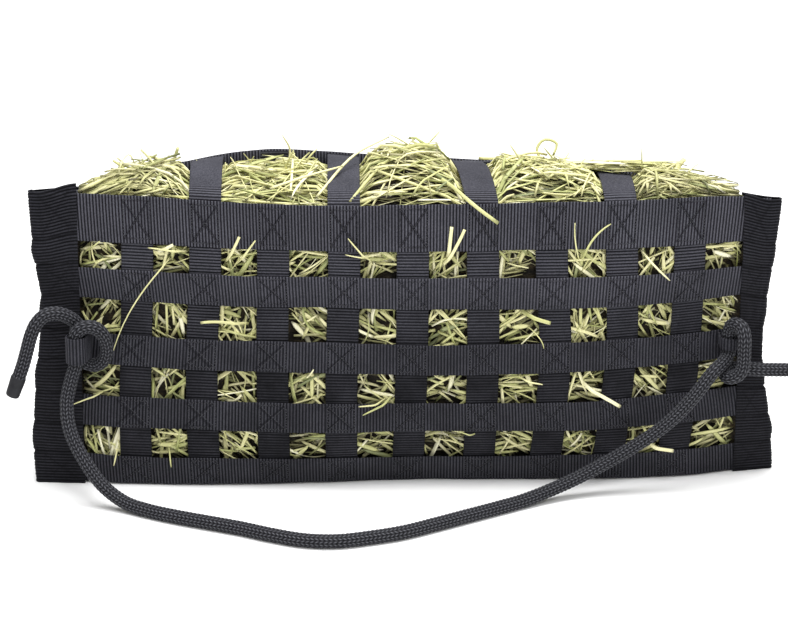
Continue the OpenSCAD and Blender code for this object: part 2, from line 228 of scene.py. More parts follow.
HANGING_ROUTE = [
    (-260, -56, 122), (-260, -56, 111), (-264, -58, 98), (-268, -63, 79),
    (-265.5, -71, 59), (-255, -80, 38.5), (-240, -88, 19), (-222.5, -96, 8),
    (-203, -107, 5.6), (-180, -119, 5.6), (-155, -130, 5.6), (-130, -141, 5.6),
    (-105, -154, 5.6), (-80, -164, 5.6), (-55, -166, 5.6), (-30, -160, 5.6),
    (-5, -151, 5.6), (20, -137, 5.6), (45, -122, 5.6), (70, -107, 5.6),
    (92, -94, 6.1), (113, -83, 9.6), (134, -75, 16), (155, -71, 26),
    (176, -69, 38), (196, -67.5, 51), (213.5, -66.5, 66), (226.5, -65, 80.5),
    (236, -63, 93), (242.5, -60, 100.5), (249, -54.5, 104.5), (253.2, -49.4, 107),
    (255.6, -46.1, 110.8), (256.5, -45, 115.5), (256.5, -45, 130.5), (257.5, -47, 135),
    (261, -52, 138), (265, -57, 136), (266.5, -60.5, 129.5), (266.5, -61.5, 121),
    (266.5, -61.5, 111), (265.5, -61.5, 103.5), (262, -60.5, 98), (257, -57.5, 95),
    (253.5, -52, 94.5), (253.5, -46, 95.5), (257.5, -41.2, 96), (264, -39.8, 96), (273, -41.5, 96),
    (282, -43.5, 96), (294, -44, 96), (308, -45, 96), (321, -46, 94), (333, -47, 88),
    (343, -48, 79), (350, -49, 67),
]
LEFT_ROUTE = [
    (-260, -56, 122), (-260, -56, 132.5), (-256.5, -56.5, 138.5), (-250, -56, 141),
    (-243, -54.5, 138.5), (-238, -52.5, 131.5), (-236, -50, 121), (-238.5, -47.5, 110.5),
    (-245, -45.4, 104.5), (-252, -44.5, 105.5), (-256, -44.7, 111.5), (-256, -44.7, 122),
    (-256, -44.7, 132.5), (-259.5, -46.5, 140.5), (-266.5, -50, 147.5),
    (-275, -53.5, 151.5), (-283.5, -56, 150.5), (-290, -58, 144.5), (-294.5, -59.2, 135),
    (-298, -60, 123), (-301.5, -60.7, 111), (-305.5, -61.3, 100),
]

# ---- Arithmetic ----


def ease(v, low, high):
    t = np.clip((v - low) / (high - low), 0, 1)
    return t * t * (3 - 2 * t)


def mix(a, b, t):
    return a + (b - a) * t


def unit(v):
    return v / np.maximum(np.linalg.norm(v, axis=-1, keepdims=True), 1e-12)


def along(values, t):
    """Smooth curve through values at equal steps, read at t from 0 to 1."""
    v = np.asarray(values, float)
    n = len(v) - 1
    t = np.clip(np.asarray(t, float), 0, 1) * n
    i = np.minimum(np.floor(t).astype(int), n - 1)
    f = t - i

    def pick(k):
        return v[k] if v.ndim == 1 else np.take_along_axis(v, k[None], 0)[0]

    a, b, c, d = pick(np.maximum(i - 1, 0)), pick(i), pick(i + 1), pick(np.minimum(i + 2, n))
    return b + f * ((c - a) / 2 + f * (a - 2.5 * b + 2 * c - d / 2 + f * ((3 * (b - c) + d - a) / 2)))


def wobble(x, seed):
    """Slow irregular wave from about -1 to 1."""
    waves = ((0.5, 1.0, 1.7), (0.3, 2.3, 4.1), (0.2, 4.7, 9.2))
    return sum(high * np.sin(rate * x + seed * start) for high, rate, start in waves)


def run_along(line):
    """Distance along a line at each of its points."""
    return np.concatenate([[0], np.cumsum(np.linalg.norm(np.diff(line, axis=0), axis=1))])


def ring_angles(sides):
    return np.linspace(0, 2 * math.pi, sides, endpoint=False)


def read_line(s, run, line):
    """Points of a line at distances s along it."""
    return np.stack([np.interp(s, run, line[:, k]) for k in range(line.shape[1])], -1)


# ---- Meshes ----


def new_mesh(name, verts, quads, tris=(), attributes=None):
    """Mesh object from arrays, with point attributes, smooth shaded."""
    quads = np.asarray(quads, np.int32).reshape(-1, 4)
    tris = np.asarray(tris, np.int32).reshape(-1, 3)
    mesh = bpy.data.meshes.new(name)
    mesh.vertices.add(len(verts))
    mesh.vertices.foreach_set("co", np.asarray(verts, np.float32).ravel())
    mesh.loops.add(quads.size + tris.size)
    mesh.loops.foreach_set("vertex_index", np.concatenate([quads.ravel(), tris.ravel()]))
    mesh.polygons.add(len(quads) + len(tris))
    starts = np.concatenate([np.arange(len(quads)) * 4, quads.size + np.arange(len(tris)) * 3])
    mesh.polygons.foreach_set("loop_start", starts.astype(np.int32))
    mesh.update(calc_edges=True)
    mesh.validate()
    mesh.polygons.foreach_set("use_smooth", np.ones(len(mesh.polygons), bool))
    for key, values in (attributes or {}).items():
        mesh.attributes.new(key, "FLOAT", "POINT").data.foreach_set(
            "value", np.asarray(values, np.float32).ravel())
    piece = bpy.data.objects.new(name, mesh)
    bpy.context.scene.collection.objects.link(piece)
    return piece


def grid_quads(rings, sides):
    """Quads between rings of points, each of the same number of sides."""
    i = np.arange(rings - 1)[:, None] * sides
    k = np.arange(sides)
    a, b = i + k, i + (k + 1) % sides
    return np.stack([a, a + sides, b + sides, b], -1).reshape(-1, 4)


def cap_tris(start, sides, turn):
    """Triangles that close a ring as a strip between its first and second half."""
    faces = []
    for k in range(sides // 2 - 1):
        far = sides - 1 - k
        faces += [(k, k + 1, far - 1), (k, far - 1, far)]
    faces = np.array(faces) + start
    return faces[:, ::-1] if turn else faces


def skin(name, rings, **values):
    """Closed skin over rings of points, an array of rings x sides x 3, with values as attributes."""
    count, sides = rings.shape[:2]
    tris = np.concatenate([cap_tris(0, sides, False), cap_tris((count - 1) * sides, sides, True)])
    attributes = {key: np.broadcast_to(value, (count, sides)) for key, value in values.items()}
    return face_outward(new_mesh(name, rings.reshape(-1, 3), grid_quads(count, sides), tris, attributes))


def face_outward(piece):
    """Turns the faces over if the closed mesh is inside out."""
    mesh = piece.data
    co = np.zeros(len(mesh.vertices) * 3)
    mesh.vertices.foreach_get("co", co)
    co = co.reshape(-1, 3)
    mesh.calc_loop_triangles()
    tri = np.zeros(len(mesh.loop_triangles) * 3, np.int32)
    mesh.loop_triangles.foreach_get("vertices", tri)
    a, b, c = (co[tri.reshape(-1, 3)[:, j]] for j in range(3))
    if np.einsum("ij,ij->i", a, np.cross(b, c)).sum() < 0:
        mesh.flip_normals()
    return piece


# ---- Materials ----


class Shader:
    """Short hand for building a node material."""

    def __init__(self, name):
        self.material = bpy.data.materials.new(name)
        self.material.use_nodes = True
        self.nodes = self.material.node_tree.nodes
        self.links = self.material.node_tree.links
        self.surface = self.nodes["Principled BSDF"]

    def put(self, socket, value):
        if isinstance(value, bpy.types.NodeSocket):
            self.links.new(value, socket)
        else:
            socket.default_value = value

    def node(self, kind, *values, **named):
        """New node with its first inputs filled in order, and others by name."""
        made = self.nodes.new("ShaderNode" + kind)
        for socket, value in zip(made.inputs, values):
            self.put(socket, value)
        for key, value in named.items():
            self.put(made.inputs[key], value)
        return made

    def math(self, operation, a, b=0.0):
        made = self.node("Math", a, b)
        made.operation = operation
        return made.outputs[0]

    def plus(self, a, b):
        return self.math("ADD", a, b)

    def less(self, a, b):
        return self.math("SUBTRACT", a, b)

    def times(self, a, b):
        return self.math("MULTIPLY", a, b)

    def attribute(self, name):
        made = self.node("Attribute")
        made.attribute_name = name
        return made.outputs["Fac"]

    def place(self):
        return self.node("TexCoord").outputs["Object"]

    def height(self):
        return self.node("SeparateXYZ", self.place()).outputs["Z"]

    def noise(self, scale, detail=3.0, rough=0.55, vector=None):
        inputs = {"Vector": vector or self.place(), "Scale": scale, "Detail": detail, "Roughness": rough}
        return self.node("TexNoise", **inputs).outputs["Fac"]

    def vector(self, x, y, z=0.0):
        return self.node("CombineXYZ", x, y, z).outputs[0]

    def blend(self, fac, a, b):
        made = self.node("Mix")
        made.data_type = "RGBA"
        self.put(made.inputs[0], fac)
        self.put(made.inputs[6], a)
        self.put(made.inputs[7], b)
        return made.outputs[2]

    def ramp(self, fac, stops):
        made = self.node("ValToRGB", fac)
        elements = made.color_ramp.elements
        while len(elements) < len(stops):
            elements.new(0.5)
        for element, (position, colour) in zip(elements, stops):
            element.position = position
            element.color = (*colour, 1)
        return made.outputs[0]

    def bump(self, height, distance, strength=1.0):
        made = self.node("Bump", strength, distance, Height=height)
        self.put(self.surface.inputs["Normal"], made.outputs[0])

    def paint(self, colour, rough, shine=0.5, sheen=0.0):
        inputs = {"Base Color": colour, "Roughness": rough, "Specular IOR Level": shine, "Sheen Weight": sheen}
        for key, value in inputs.items():
            self.put(self.surface.inputs[key], value)


THREAD_PITCH = 0.0011
YARN_PITCH = 0.00085


def webbing_material(name, shades, dark, span=(0.11, 0.20)):
    """Ribbed woven webbing: the rib colours run from painted shade in the valleys to the crowns, with fine cross
    threads and a little wear. It is darker towards the floor, as the photo's is, by painted shade: dark is by
    how much, below and above the span of heights."""
    s = Shader(name)
    lengthwise, across, rib = s.attribute("u"), s.attribute("v"), s.attribute("rib")
    threads = s.math("SINE", s.times(across, 2 * math.pi / THREAD_PITCH))
    yarn = s.math("SINE", s.times(lengthwise, 2 * math.pi / YARN_PITCH))
    weave = s.times(threads, yarn)
    fuzz, worn = s.noise(900, 2.0), s.noise(30, 4.0, 0.65)
    level = s.plus(s.plus(rib, s.times(s.less(fuzz, 0.5), 0.5)), s.times(weave, 0.07))
    colour = s.ramp(level, list(zip((0.0, 0.4, 0.75, 1.0), shades)))
    # Painted shade: the colour gets darker towards the floor. The worn patches below are real wear.
    high = s.node("MapRange", s.height(), *span, *dark)
    high.interpolation_type = "SMOOTHSTEP"
    painted_shade_and_wear = s.plus(high.outputs[0], s.times(s.less(0.62, worn), 0.8))
    colour = s.blend(painted_shade_and_wear, colour, (*shades[0], 1))
    s.paint(colour, s.plus(s.times(worn, 0.2), 0.6), 0.1, 0.01)
    s.bump(s.plus(s.times(weave, 0.5), fuzz), 0.00015, 0.8)
    return s.material


def rope_material():
    """Braided filament rope: lighter crowns on each plait, and painted shade in the dark gaps between them."""
    s = Shader("braided_rope")
    crown = s.attribute("rib")
    lengthwise, turn = s.attribute("u"), s.attribute("v")
    strands = s.noise(1.0, 2.0, 0.5, s.vector(s.times(lengthwise, 900.0), s.times(turn, 2600.0)))
    # Painted shade in the gaps between the plaits.
    colour = s.ramp(s.times(crown, s.plus(s.times(strands, 0.7), 0.62)),
                    [(0.0, (0.002, 0.002, 0.003)), (0.4, (0.012, 0.012, 0.015)),
                     (0.8, (0.055, 0.056, 0.064)), (1.0, (0.13, 0.135, 0.148))])
    s.paint(colour, s.plus(s.times(strands, 0.25), 0.5), 0.12, 0.03)
    s.bump(strands, 0.0002, 0.6)
    return s.material


def grained_material(name, scale, detail, shades, rough, streaks, depth, shine=0.5):
    """Fine grained matt material, for the sleeves on the rope's ends and for sewing thread."""
    s = Shader(name)
    grain = s.noise(scale, detail)
    s.paint(s.ramp(grain, list(zip((0.3, 0.8), shades))), s.plus(s.times(grain, streaks), rough), shine)
    s.bump(grain, depth, 0.5)
    return s.material


def hay_material(name, stops, dark):
    """Dried grass: each stalk has its own tone, with streaks along it and browner cut ends. Stalks deep in the hay are
    darkened by painted shade, from the deep attribute.
    """
    s = Shader(name)
    tone, end, lengthwise = s.attribute("tone"), s.attribute("end"), s.attribute("u")
    patch = s.noise(55, 3.0)
    streaks = s.vector(s.times(lengthwise, 90.0), s.times(tone, 400.0), s.times(s.attribute("v"), 2400.0))
    fine = s.noise(1.0, 3.0, 0.6, streaks)
    colour = s.ramp(s.plus(tone, s.times(s.less(patch, 0.5), 0.35)), stops)
    colour = s.blend(s.times(s.less(fine, 0.3), 0.7), colour, (*stops[-1][1], 1))
    colour = s.blend(s.times(end, 0.75), colour, (*dark, 1))
    # Painted shade for the stalks that lie deep.
    s.paint(s.blend(s.attribute("deep"), colour, (*dark, 1)), 0.5, 0.4)
    s.bump(fine, 0.0003, 0.5)
    return s.material


def core_material():
    """The inside of the hay in painted shade: matted straw, coloured dark brown."""
    s = Shader("hay_shadow")
    streak = s.node("Mapping", Vector=s.place(), Scale=(60.0, 260.0, 260.0)).outputs[0]
    matted = s.noise(1.0, 5.0, 0.65, streak)
    shades = [(0.32, (0.004, 0.003, 0.001)), (0.5, (0.012, 0.008, 0.003)), (0.72, (0.06, 0.042, 0.014))]
    s.paint(s.ramp(matted, shades), 0.85)
    s.bump(matted, 0.003, 1.0)
    return s.material


# Colours from a rib's valley to its crown: the dark valley colours are painted shade.
STRAP_SHADES = [(0.002, 0.002, 0.003), (0.009, 0.009, 0.012), (0.037, 0.037, 0.047), (0.096, 0.096, 0.114)]
# The end bands' colours are the straps' colours darkened: painted shade, more of it at the top as well.
BAND_SHADED_COLOURS = [(0.001, 0.001, 0.0015), (0.003, 0.003, 0.004), (0.011, 0.011, 0.015), (0.036, 0.036, 0.045)]
WEBBING = webbing_material("ribbed_webbing", STRAP_SHADES, (0.42, 0.03))
# The uprights lie behind the rows and get more painted shade towards the floor.
UPRIGHT = webbing_material("ribbed_webbing_behind_in_shade", STRAP_SHADES, (0.67, 0.10), (0.095, 0.215))
BAND = webbing_material("folded_webbing_in_shade", BAND_SHADED_COLOURS, (0.42, 0.22))
ROPE = rope_material()
SLEEVE = grained_material("rope_sleeve", 120, 3.0, [(0.010, 0.010, 0.012), (0.026, 0.026, 0.030)],
                          0.4, 0.3, 0.0003, 0.2)
THREAD = grained_material("sewing_thread", 1500, 2.0, [(0.008, 0.008, 0.012), (0.03, 0.03, 0.038)],
                          0.5, 0.0, 0.0001)
STRAW = hay_material("hay_stalks", [
    (0.0, (0.09, 0.12, 0.02)), (0.2, (0.28, 0.31, 0.07)), (0.5, (0.55, 0.54, 0.21)),
    (0.78, (0.76, 0.72, 0.37)), (1.0, (0.90, 0.87, 0.62))], (0.022, 0.013, 0.004))
CORE = core_material()


def finish_piece(piece, material, slot, *nodes):
    """Gives a piece its material, body and slot, and has it replace its CAD nodes."""
    piece.data.materials.append(material)
    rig.ride(piece, "root")
    if nodes:
        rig.replaces(piece, *nodes)
    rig.slot(piece, slot)
    return piece


# ---- Camera, light and floor ----

TARGET = Vector((-0.009, SEAM_Y, 0.137))
CAMERA_FAR = 2.6
CAMERA_RISE = math.radians(21)
CAMERA_TURN = math.radians(1)
LENS = 149.3


def aim(thing, place, target):
    thing.location = place
    thing.rotation_euler = (Vector(target) - Vector(place)).to_track_quat("-Z", "Y").to_euler()


def add_camera():
    camera = bpy.data.objects.new("camera", bpy.data.cameras.new("camera"))
    forward = Vector((math.sin(CAMERA_TURN) * math.cos(CAMERA_RISE),
                      math.cos(CAMERA_TURN) * math.cos(CAMERA_RISE), -math.sin(CAMERA_RISE)))
    aim(camera, TARGET - CAMERA_FAR * forward, TARGET)
    camera.data.lens = LENS
    camera.data.clip_end = 60
    bpy.context.scene.collection.objects.link(camera)
    bpy.context.scene.camera = camera


def add_light(name, place, size, power):
    data = bpy.data.lights.new(name, "AREA")
    data.shape = "RECTANGLE"
    data.size, data.size_y = size
    data.energy = power
    light = bpy.data.objects.new(name, data)
    aim(light, place, (0, 0, 0.1))
    bpy.context.scene.collection.objects.link(light)


def add_studio():
    world = bpy.data.worlds.new("studio")
    bpy.context.scene.world = world
    world.use_nodes = True
    sky = world.node_tree.nodes["Background"].inputs
    sky["Color"].default_value = (1, 1, 1, 1)
    sky["Strength"].default_value = 0.55
    add_light("overhead", (0.1, -0.1, 2.2), (1.8, 1.2), 75)
    add_light("key", (0.5, -1.9, 1.9), (0.9, 0.9), 20)
    half = 9.0
    corners = [(-half, -half, 0), (half, -half, 0), (half, half, 0), (-half, half, 0)]
    floor = new_mesh("floor", corners, [(0, 1, 2, 3)])
    s = Shader("pale_floor")
    shades = [(0.3, (0.93, 0.93, 0.93)), (0.7, (0.95, 0.95, 0.95))]
    s.paint(s.ramp(s.noise(3.0), shades), 0.9, 0.1)
    floor.data.materials.append(s.material)
    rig.stage(floor)
    bpy.context.scene.view_settings.view_transform = "Standard"


add_camera()
add_studio()

# ---- Rope ----

PLAITS = 14
PLAIT_L = 0.0034
PLAIT_H = 0.0008
ROPE_SIDES = 70
ROPE_STEP = 0.00066
CORD_EVERY = 6


def smooth_path(route, step):
    """Even points along a smooth curve through a route given in millimetres."""
    p = np.array(route, float) / 1000
    p = np.vstack([2 * p[0] - p[1], p, 2 * p[-1] - p[-2]])
    fine = []
    for i in range(len(p) - 3):
        near = p[i:i + 4]
        knots = np.cumsum([0, *np.linalg.norm(np.diff(near, axis=0), axis=1) ** 0.5])
        t = np.linspace(knots[1], knots[2], 40, endpoint=False)[:, None]
        rows = [mix(near[k], near[k + 1], (t - knots[k]) / (knots[k + 1] - knots[k])) for k in range(3)]
        rows = [mix(rows[k], rows[k + 1], (t - knots[k]) / (knots[k + 2] - knots[k])) for k in range(2)]
        fine.append(mix(rows[0], rows[1], (t - knots[1]) / (knots[2] - knots[1])))
    fine = np.vstack(fine + [p[-2:-1]])
    run = run_along(fine)
    s = np.linspace(0, run[-1], int(run[-1] / step) + 1)
    return read_line(s, run, fine), s


def turning_sides(path):
    """Two sides at each point of a path, carried along without twist."""
    tangent = unit(np.gradient(path, axis=0))
    side = np.zeros_like(path)
    side[0] = unit(np.cross(tangent[0], (0, 1, 0)))
    for i in range(1, len(path)):
        v = side[i - 1] - tangent[i] * np.dot(side[i - 1], tangent[i])
        side[i] = v / np.linalg.norm(v)
    return side, np.cross(tangent, side)


def plait_height(s, angle):
    """Height of a braid, 0 in the gaps and 1 on the crowns: slanted plaits, column by column."""
    column = angle / (2 * math.pi) * PLAITS
    c = column - np.floor(column)
    slant = np.where(np.floor(column) % 2 == 0, 1.0, -1.0)
    phase = s / PLAIT_L + slant * (c - 0.5) * 0.9
    f = phase - np.floor(phase)
    return (np.sin(math.pi * c) ** 0.4) * (np.sin(math.pi * f) ** 0.9)


def rope_piece(name, route):
    """Braided rope along a route, with its path and its length."""
    path, s = smooth_path(route, ROPE_STEP)
    side, up = turning_sides(path)
    angle = ring_angles(ROPE_SIDES)
    high = plait_height(s[:, None], angle)
    radius = ROPE_D / 2 - PLAIT_H + PLAIT_H * high
    ring = path[:, None] + radius[..., None] * (
        np.cos(angle)[:, None] * side[:, None] + np.sin(angle)[:, None] * up[:, None])
    return skin(name, ring, rib=high, u=s[:, None], v=angle * ROPE_D / 2), path, s[-1]


def sleeve_piece(name, route, tip):
    """Sleeve that carries the rope on past its route: a lip, a waisted barrel and a closed end."""
    path, _ = smooth_path(route, ROPE_STEP)
    g = unit(path[-1] - path[-4])
    lie = Vector(g).to_track_quat("Z", "Y").to_matrix()
    profile = [(-0.0012, 0.93), (-0.0008, 1), (0.0006, 1), (0.003, 0.985), (0.008, 0.955), (0.013, 0.97),
               (0.0146, 0.95), (0.0156, 0.86), (0.016, 0.7), (0.0157, 0.45), (0.0154, 0.1)]
    z, share = np.array(profile).T[:, :, None]
    angle = ring_angles(40)
    reach = TIP_D / 2 * share * (1 - 0.03 * np.sin(2 * angle + z * 300))
    local = np.stack([reach * np.cos(angle), reach * np.sin(angle), np.broadcast_to(z, reach.shape)], -1)
    piece = skin(name, local @ np.array(lie).T + path[-1])
    return finish_piece(piece, SLEEVE, "rope_end", tip)


def build_rope():
    right_tip = sleeve_piece("rope_sleeve_right", HANGING_ROUTE, "right_rope_end")
    left_tip = sleeve_piece("rope_sleeve_left", LEFT_ROUTE, "left_rope_end")
    for name, route, node, tip in (("rope_hanging", HANGING_ROUTE, "hanging_rope", right_tip),
                                   ("rope_left", LEFT_ROUTE, "rope_left_tail", left_tip)):
        piece, path, length = rope_piece(name, route)
        finish_piece(piece, ROPE, "rope", node)
        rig.cord(piece, exit=path[0], length=round(float(length), 3), diameter=ROPE_D, far_end="fitting",
                stiffness="limp", lay="loose", path=path[::CORD_EVERY], with_pieces=[tip])


build_rope()

# ---- Surface of the bag ----
# side is -1 for the feeding face and 1 for the back, as in the CAD model.


def end_x(end, z):
    """Distance of an end seam from the middle; end is negative left and positive right."""
    t = z / BAG_H
    return TIP_X - np.where(np.asarray(end) < 0, along(LEFT_PINCH, t), along(RIGHT_PINCH, t)) / 1000


def swell_at(s, t):
    """Swelling of the hay towards the front, s of the way out to an end and t of the way up."""
    s, t = np.broadcast_arrays(s, t)
    return along(np.stack([along(row, (s + 1) / 2) for row in SWELL]), t) / 1000


def seam(end, z):
    """Where the two faces meet at an end."""
    return SEAM_Y - swell_at(np.sign(end) * 1.0, z / BAG_H)


def face_y(side, x, z):
    """Where a face is from front to back: bulging, and pinched together at both ends."""
    x, z = np.broadcast_arrays(np.asarray(x, float), np.asarray(z, float))
    s, t = np.clip(x / end_x(x, z), -1, 1), z / BAG_H
    if side < 0:
        return SEAM_Y - FRONT_BULGE * along(FRONT_SHAPE, t) * (1 - np.abs(s) ** 2.2) - swell_at(s, t)
    plan = (1 - np.minimum(np.abs(s + 0.12 * (1 - s * s)), 1) ** 2.4) ** 1.35
    ends = swell_at(np.where(s < 0, -1.0, 1.0), t) * np.abs(s) ** 3
    return SEAM_Y + BACK_BULGE * along(BACK_SHAPE, t) * plan - ends


def rise(side, x, z):
    """Rise of the back's top edge and drop of the ends', fading out down the face."""
    up = 0 if side < 0 else (BACK_RISE * np.exp(-((x + 0.115) / 0.075) ** 2)
                             - BACK_DROOP * ease(np.abs(x), 0.190, 0.262))
    return np.clip(z / BAG_H, 0, 1) ** 4 * (up - END_DROP * ease(x, TIP_X - 0.060, TIP_X))


def lean(side, x, z):
    """Slope of a face from front to back as it goes up."""
    step = 0.001
    return (face_y(side, x, z + step) - face_y(side, x, z - step)) / (2 * step)


def face_point(side, x, z, d):
    """Point on a face moved out by d along the face's normal in the section."""
    x, z, d = np.broadcast_arrays(x, z, d)
    slope = lean(side, x, z)
    size = np.sqrt(1 + slope ** 2)
    return np.stack([x, face_y(side, x, z) + side * d / size,
                     z + rise(side, x, z) - side * d * slope / size], -1)


def upright_at(i, edge, side, z):
    """Place along the bag of upright i, edge away from its middle, at a height on a face."""
    if side < 0:
        return UPRIGHT_X[i] + edge + along(SWAY[i], z / BAG_H) / 1000
    foot = along(SWAY[i], BEND_H / BAG_H) / 1000
    return UPRIGHT_X[i] + edge + foot * (1 - ease(z, BEND_H, 0.8 * BAG_H))


FIRST_X = UPRIGHT_X[0] - STRAP_W / 2
LAST_X = UPRIGHT_X[-1] + STRAP_W / 2


def lay(x):
    """How far out of the face a horizontal strap lies: over the uprights, and down again past the last."""
    near, far = 0.002, 0.030
    over = ease(x, FIRST_X - far, FIRST_X - near) - ease(x, LAST_X + near, LAST_X + far)
    return PLAY + WEB_T * over


# ---- Webbing ----

RIB = 0.0025
RIB_STEP = 0.0005
RIB_DEEP = 0.0006
BOX_HALF = 0.0105
ROW_INSET = 0.005


def box_half(width):
    """Half height of the sewn box on a strap of this width."""
    return min(width / 2 - 0.0025, 0.0155)


def rib_height(u):
    """Rounded ribs with narrow valleys, 0 in a valley and 1 on a crown."""
    return np.abs(np.sin(math.pi * u / RIB)) ** 0.7


def width_steps(width, columns):
    """Places across a strap, closer together at its two edges."""
    inner = np.linspace(-width / 2 + 0.0013, width / 2 - 0.0013, columns - 4)
    return np.concatenate([[-width / 2, -width / 2 + 0.0005], inner, [width / 2 - 0.0005, width / 2]])


def ribbon_piece(name, place, length, width, columns, pressed=None, smooth=None, folded=False):
    """Webbing strap. place(u, v, d) gives the point at u along it, v across it and d out of its middle
    layer. pressed(u, v) is how deep the stitching pulls the outer face in, smooth(u) how far its ribs are
    pulled flat. A folded strap has as many columns inside as outside."""
    u = np.arange(int(length / RIB_STEP) + 1) * RIB_STEP
    u = u * (length / u[-1])
    v = width_steps(width, columns)
    back_v = v[::-1] if folded else np.linspace(width / 2 - 0.0006, -width / 2 + 0.0006, 4 + columns % 2)
    ribs = rib_height(u)[:, None]
    if smooth is not None:
        ribs = mix(ribs, 0.8, smooth(u)[:, None])
    rim = width / 2 - np.abs(v)
    edge = 1 - 0.55 * (rim < 0.0002) - 0.12 * (rim < 0.0007) * (rim > 0.0002)
    outer = (WEB_T / 2 - RIB_DEEP * (1 - ribs)) * edge[None, :]
    # The rib heights also set the colour: painted shade in the valleys, and in the sewn lines and creases pressed in.
    shade = np.broadcast_to(ribs, outer.shape).copy()
    if pressed is not None:
        sunk = pressed(u[:, None], v[None, :])
        outer = outer - 0.00035 * sunk
        shade = shade * (1 - 0.35 * sunk)
    inner = -(WEB_T / 2 - RIB_DEEP * (1 - ribs)) * np.ones((1, len(back_v)))
    uu = np.broadcast_to(u[:, None], (len(u), columns + len(back_v)))
    vv = np.broadcast_to(np.concatenate([v, back_v])[None, :], uu.shape)
    dd = np.concatenate([outer, inner], 1)
    rib = np.concatenate([shade, np.broadcast_to(ribs, inner.shape)], 1)
    return skin(name, place(uu, vv, dd), u=uu, v=vv, rib=rib)


def follow(lines, run, u, d, dip=0.0, seed=0):
    """Points of a strap that follows a line for each column, d out of it; level stretches dip a little."""
    out = np.empty(u.shape + (3,))
    for k, line in enumerate(lines):
        mid = read_line(u[:, 0], run, line)
        g = unit(np.gradient(mid, axis=0))
        n = unit(np.stack([0 * g[:, 0], -g[:, 2], g[:, 1]], -1))
        ripple = np.where(g[:, 1] > 0.5, dip * wobble(mid[:, 1] / 0.012 + k * 0.11, seed), 0)
        out[:, k] = mid + n * (d[:, k] + ripple)[:, None]
    return out


def box_stitch(u, v, middle, half_u, half_v):
    """1 on the lines of a sewn box with a cross in it, 0 away from them."""
    a, b = (u - middle) / half_u, v / half_v
    line = 0.0008
    inside = (np.abs(a) < 1.06) & (np.abs(b) < 1.06)
    cross = np.minimum(np.abs(a - b), np.abs(a + b)) * min(half_u, half_v) / math.sqrt(2)
    frame_line = np.abs(np.maximum(np.abs(a), np.abs(b)) - 1) * min(half_u, half_v)
    sunk = np.maximum(np.clip(1.25 - cross / line, 0, 1), 0.4 * np.clip(1.25 - frame_line / line, 0, 1))
    return np.where(inside, sunk, 0.0)


def row_strap(side, row):
    """Horizontal strap or top band on one face, with the boxes sewn over the uprights pressed in."""
    low, high = ROWS[row]
    width = high - low
    name = ("front_" if side < 0 else "back_") + ROW_NAMES[row]
    middle = low + width / 2
    reach = float(end_x(1, middle)) - ROW_INSET
    seed = row * 2 + side

    def place(u, v, d):
        s = mix(-1, 1, u / (2 * reach))
        z = middle + v
        x = s * (end_x(s, z) - ROW_INSET)
        ripple = 0.0005 * wobble(x / 0.021, seed) + 0.0003 * wobble(x / 0.009 + v / 0.01, seed + 3)
        sway = 0.0006 * wobble(x / 0.035, seed + 7)
        return face_point(side, x, z + sway, lay(x) + WEB_T / 2 + d + ripple * 0.6 + 0.0002)

    def pressed(u, v):
        x = mix(-1, 1, u / (2 * reach)) * reach
        centres = [upright_at(i, 0, side, middle) for i in range(COLUMNS)]
        return np.max([box_stitch(x, v, centre, BOX_HALF, box_half(width)) for centre in centres], 0)

    piece = ribbon_piece(name, place, 2 * reach, width, 23 if row < 4 else 33, pressed)
    return finish_piece(piece, WEBBING, "webbing", name)


def upright_lines(i, edge, d):
    """Section of upright i, edge away from its middle and d out of the faces: down, under and up."""
    x = upright_at(i, edge, -1, BEND_H)

    def wall(side, z):
        return face_point(side, upright_at(i, edge, side, z), z, d)

    def bend(side, t):
        y = face_y(side, x, BEND_H)
        foot = y - lean(side, x, BEND_H) * (BEND_H - WEB_T)
        corners = (y, BEND_H), (foot, WEB_T), (foot - side * BEND_RUN, WEB_T)
        a, b, c = (np.stack(np.broadcast_arrays(*corner), -1) for corner in corners)
        p = mix(mix(a, b, t), mix(b, c, t), t)
        g = unit(mix(b - a, c - b, t))
        n = side * np.stack([-g[..., 1], g[..., 0]], -1)
        p = p + np.asarray(d)[..., None] * n
        return np.stack([np.broadcast_to(x, p.shape[:-1]), p[..., 0], p[..., 1]], -1)

    top = BAG_H - 0.001
    down = [wall(-1, z) for z in np.linspace(top, BEND_H, 60)]
    round_front = [bend(-1, t) for t in (0.2, 0.4, 0.6, 0.8, 1.0)]
    round_back = [bend(1, t) for t in (1.0, 0.8, 0.6, 0.4, 0.2)]
    up = [wall(1, z) for z in np.linspace(BEND_H, top, 60)]
    return np.array(down + round_front + round_back + up)


def upright_strap(i):
    """Strap down the front behind the rows, under the bag and up the back."""
    name = f"upright_strap_{i + 1}"
    guide = upright_lines(i, np.zeros(1), np.array([WEB_T / 2]))[:, 0]
    run = run_along(guide)

    def place(u, v, d):
        lines = upright_lines(i, v[0], np.full(v.shape[1], WEB_T / 2))
        return follow(lines.swapaxes(0, 1), run, u, d)

    piece = ribbon_piece(name, place, run[-1], STRAP_W, 9)
    return finish_piece(piece, UPRIGHT, "webbing", name)


for face in (-1, 1):
    for strap_row in range(len(ROWS)):
        row_strap(face, strap_row)
for column in range(COLUMNS):
    upright_strap(column)

# ---- End bands ----

FOLD_OUT = WEB_T * 1.5 + 2 * PLAY


def fold_height(end, side, x, t):
    """Height of an end band's edge on one face, t of the way up."""
    inner = FOLD_FRONT[end] if side < 0 else FOLD_BACK[end]
    return mix(0.0002, BAG_H + mix(inner, FOLD_TIP[end], ease(x, TIP_X - 0.038, TIP_X - 0.006)), t)


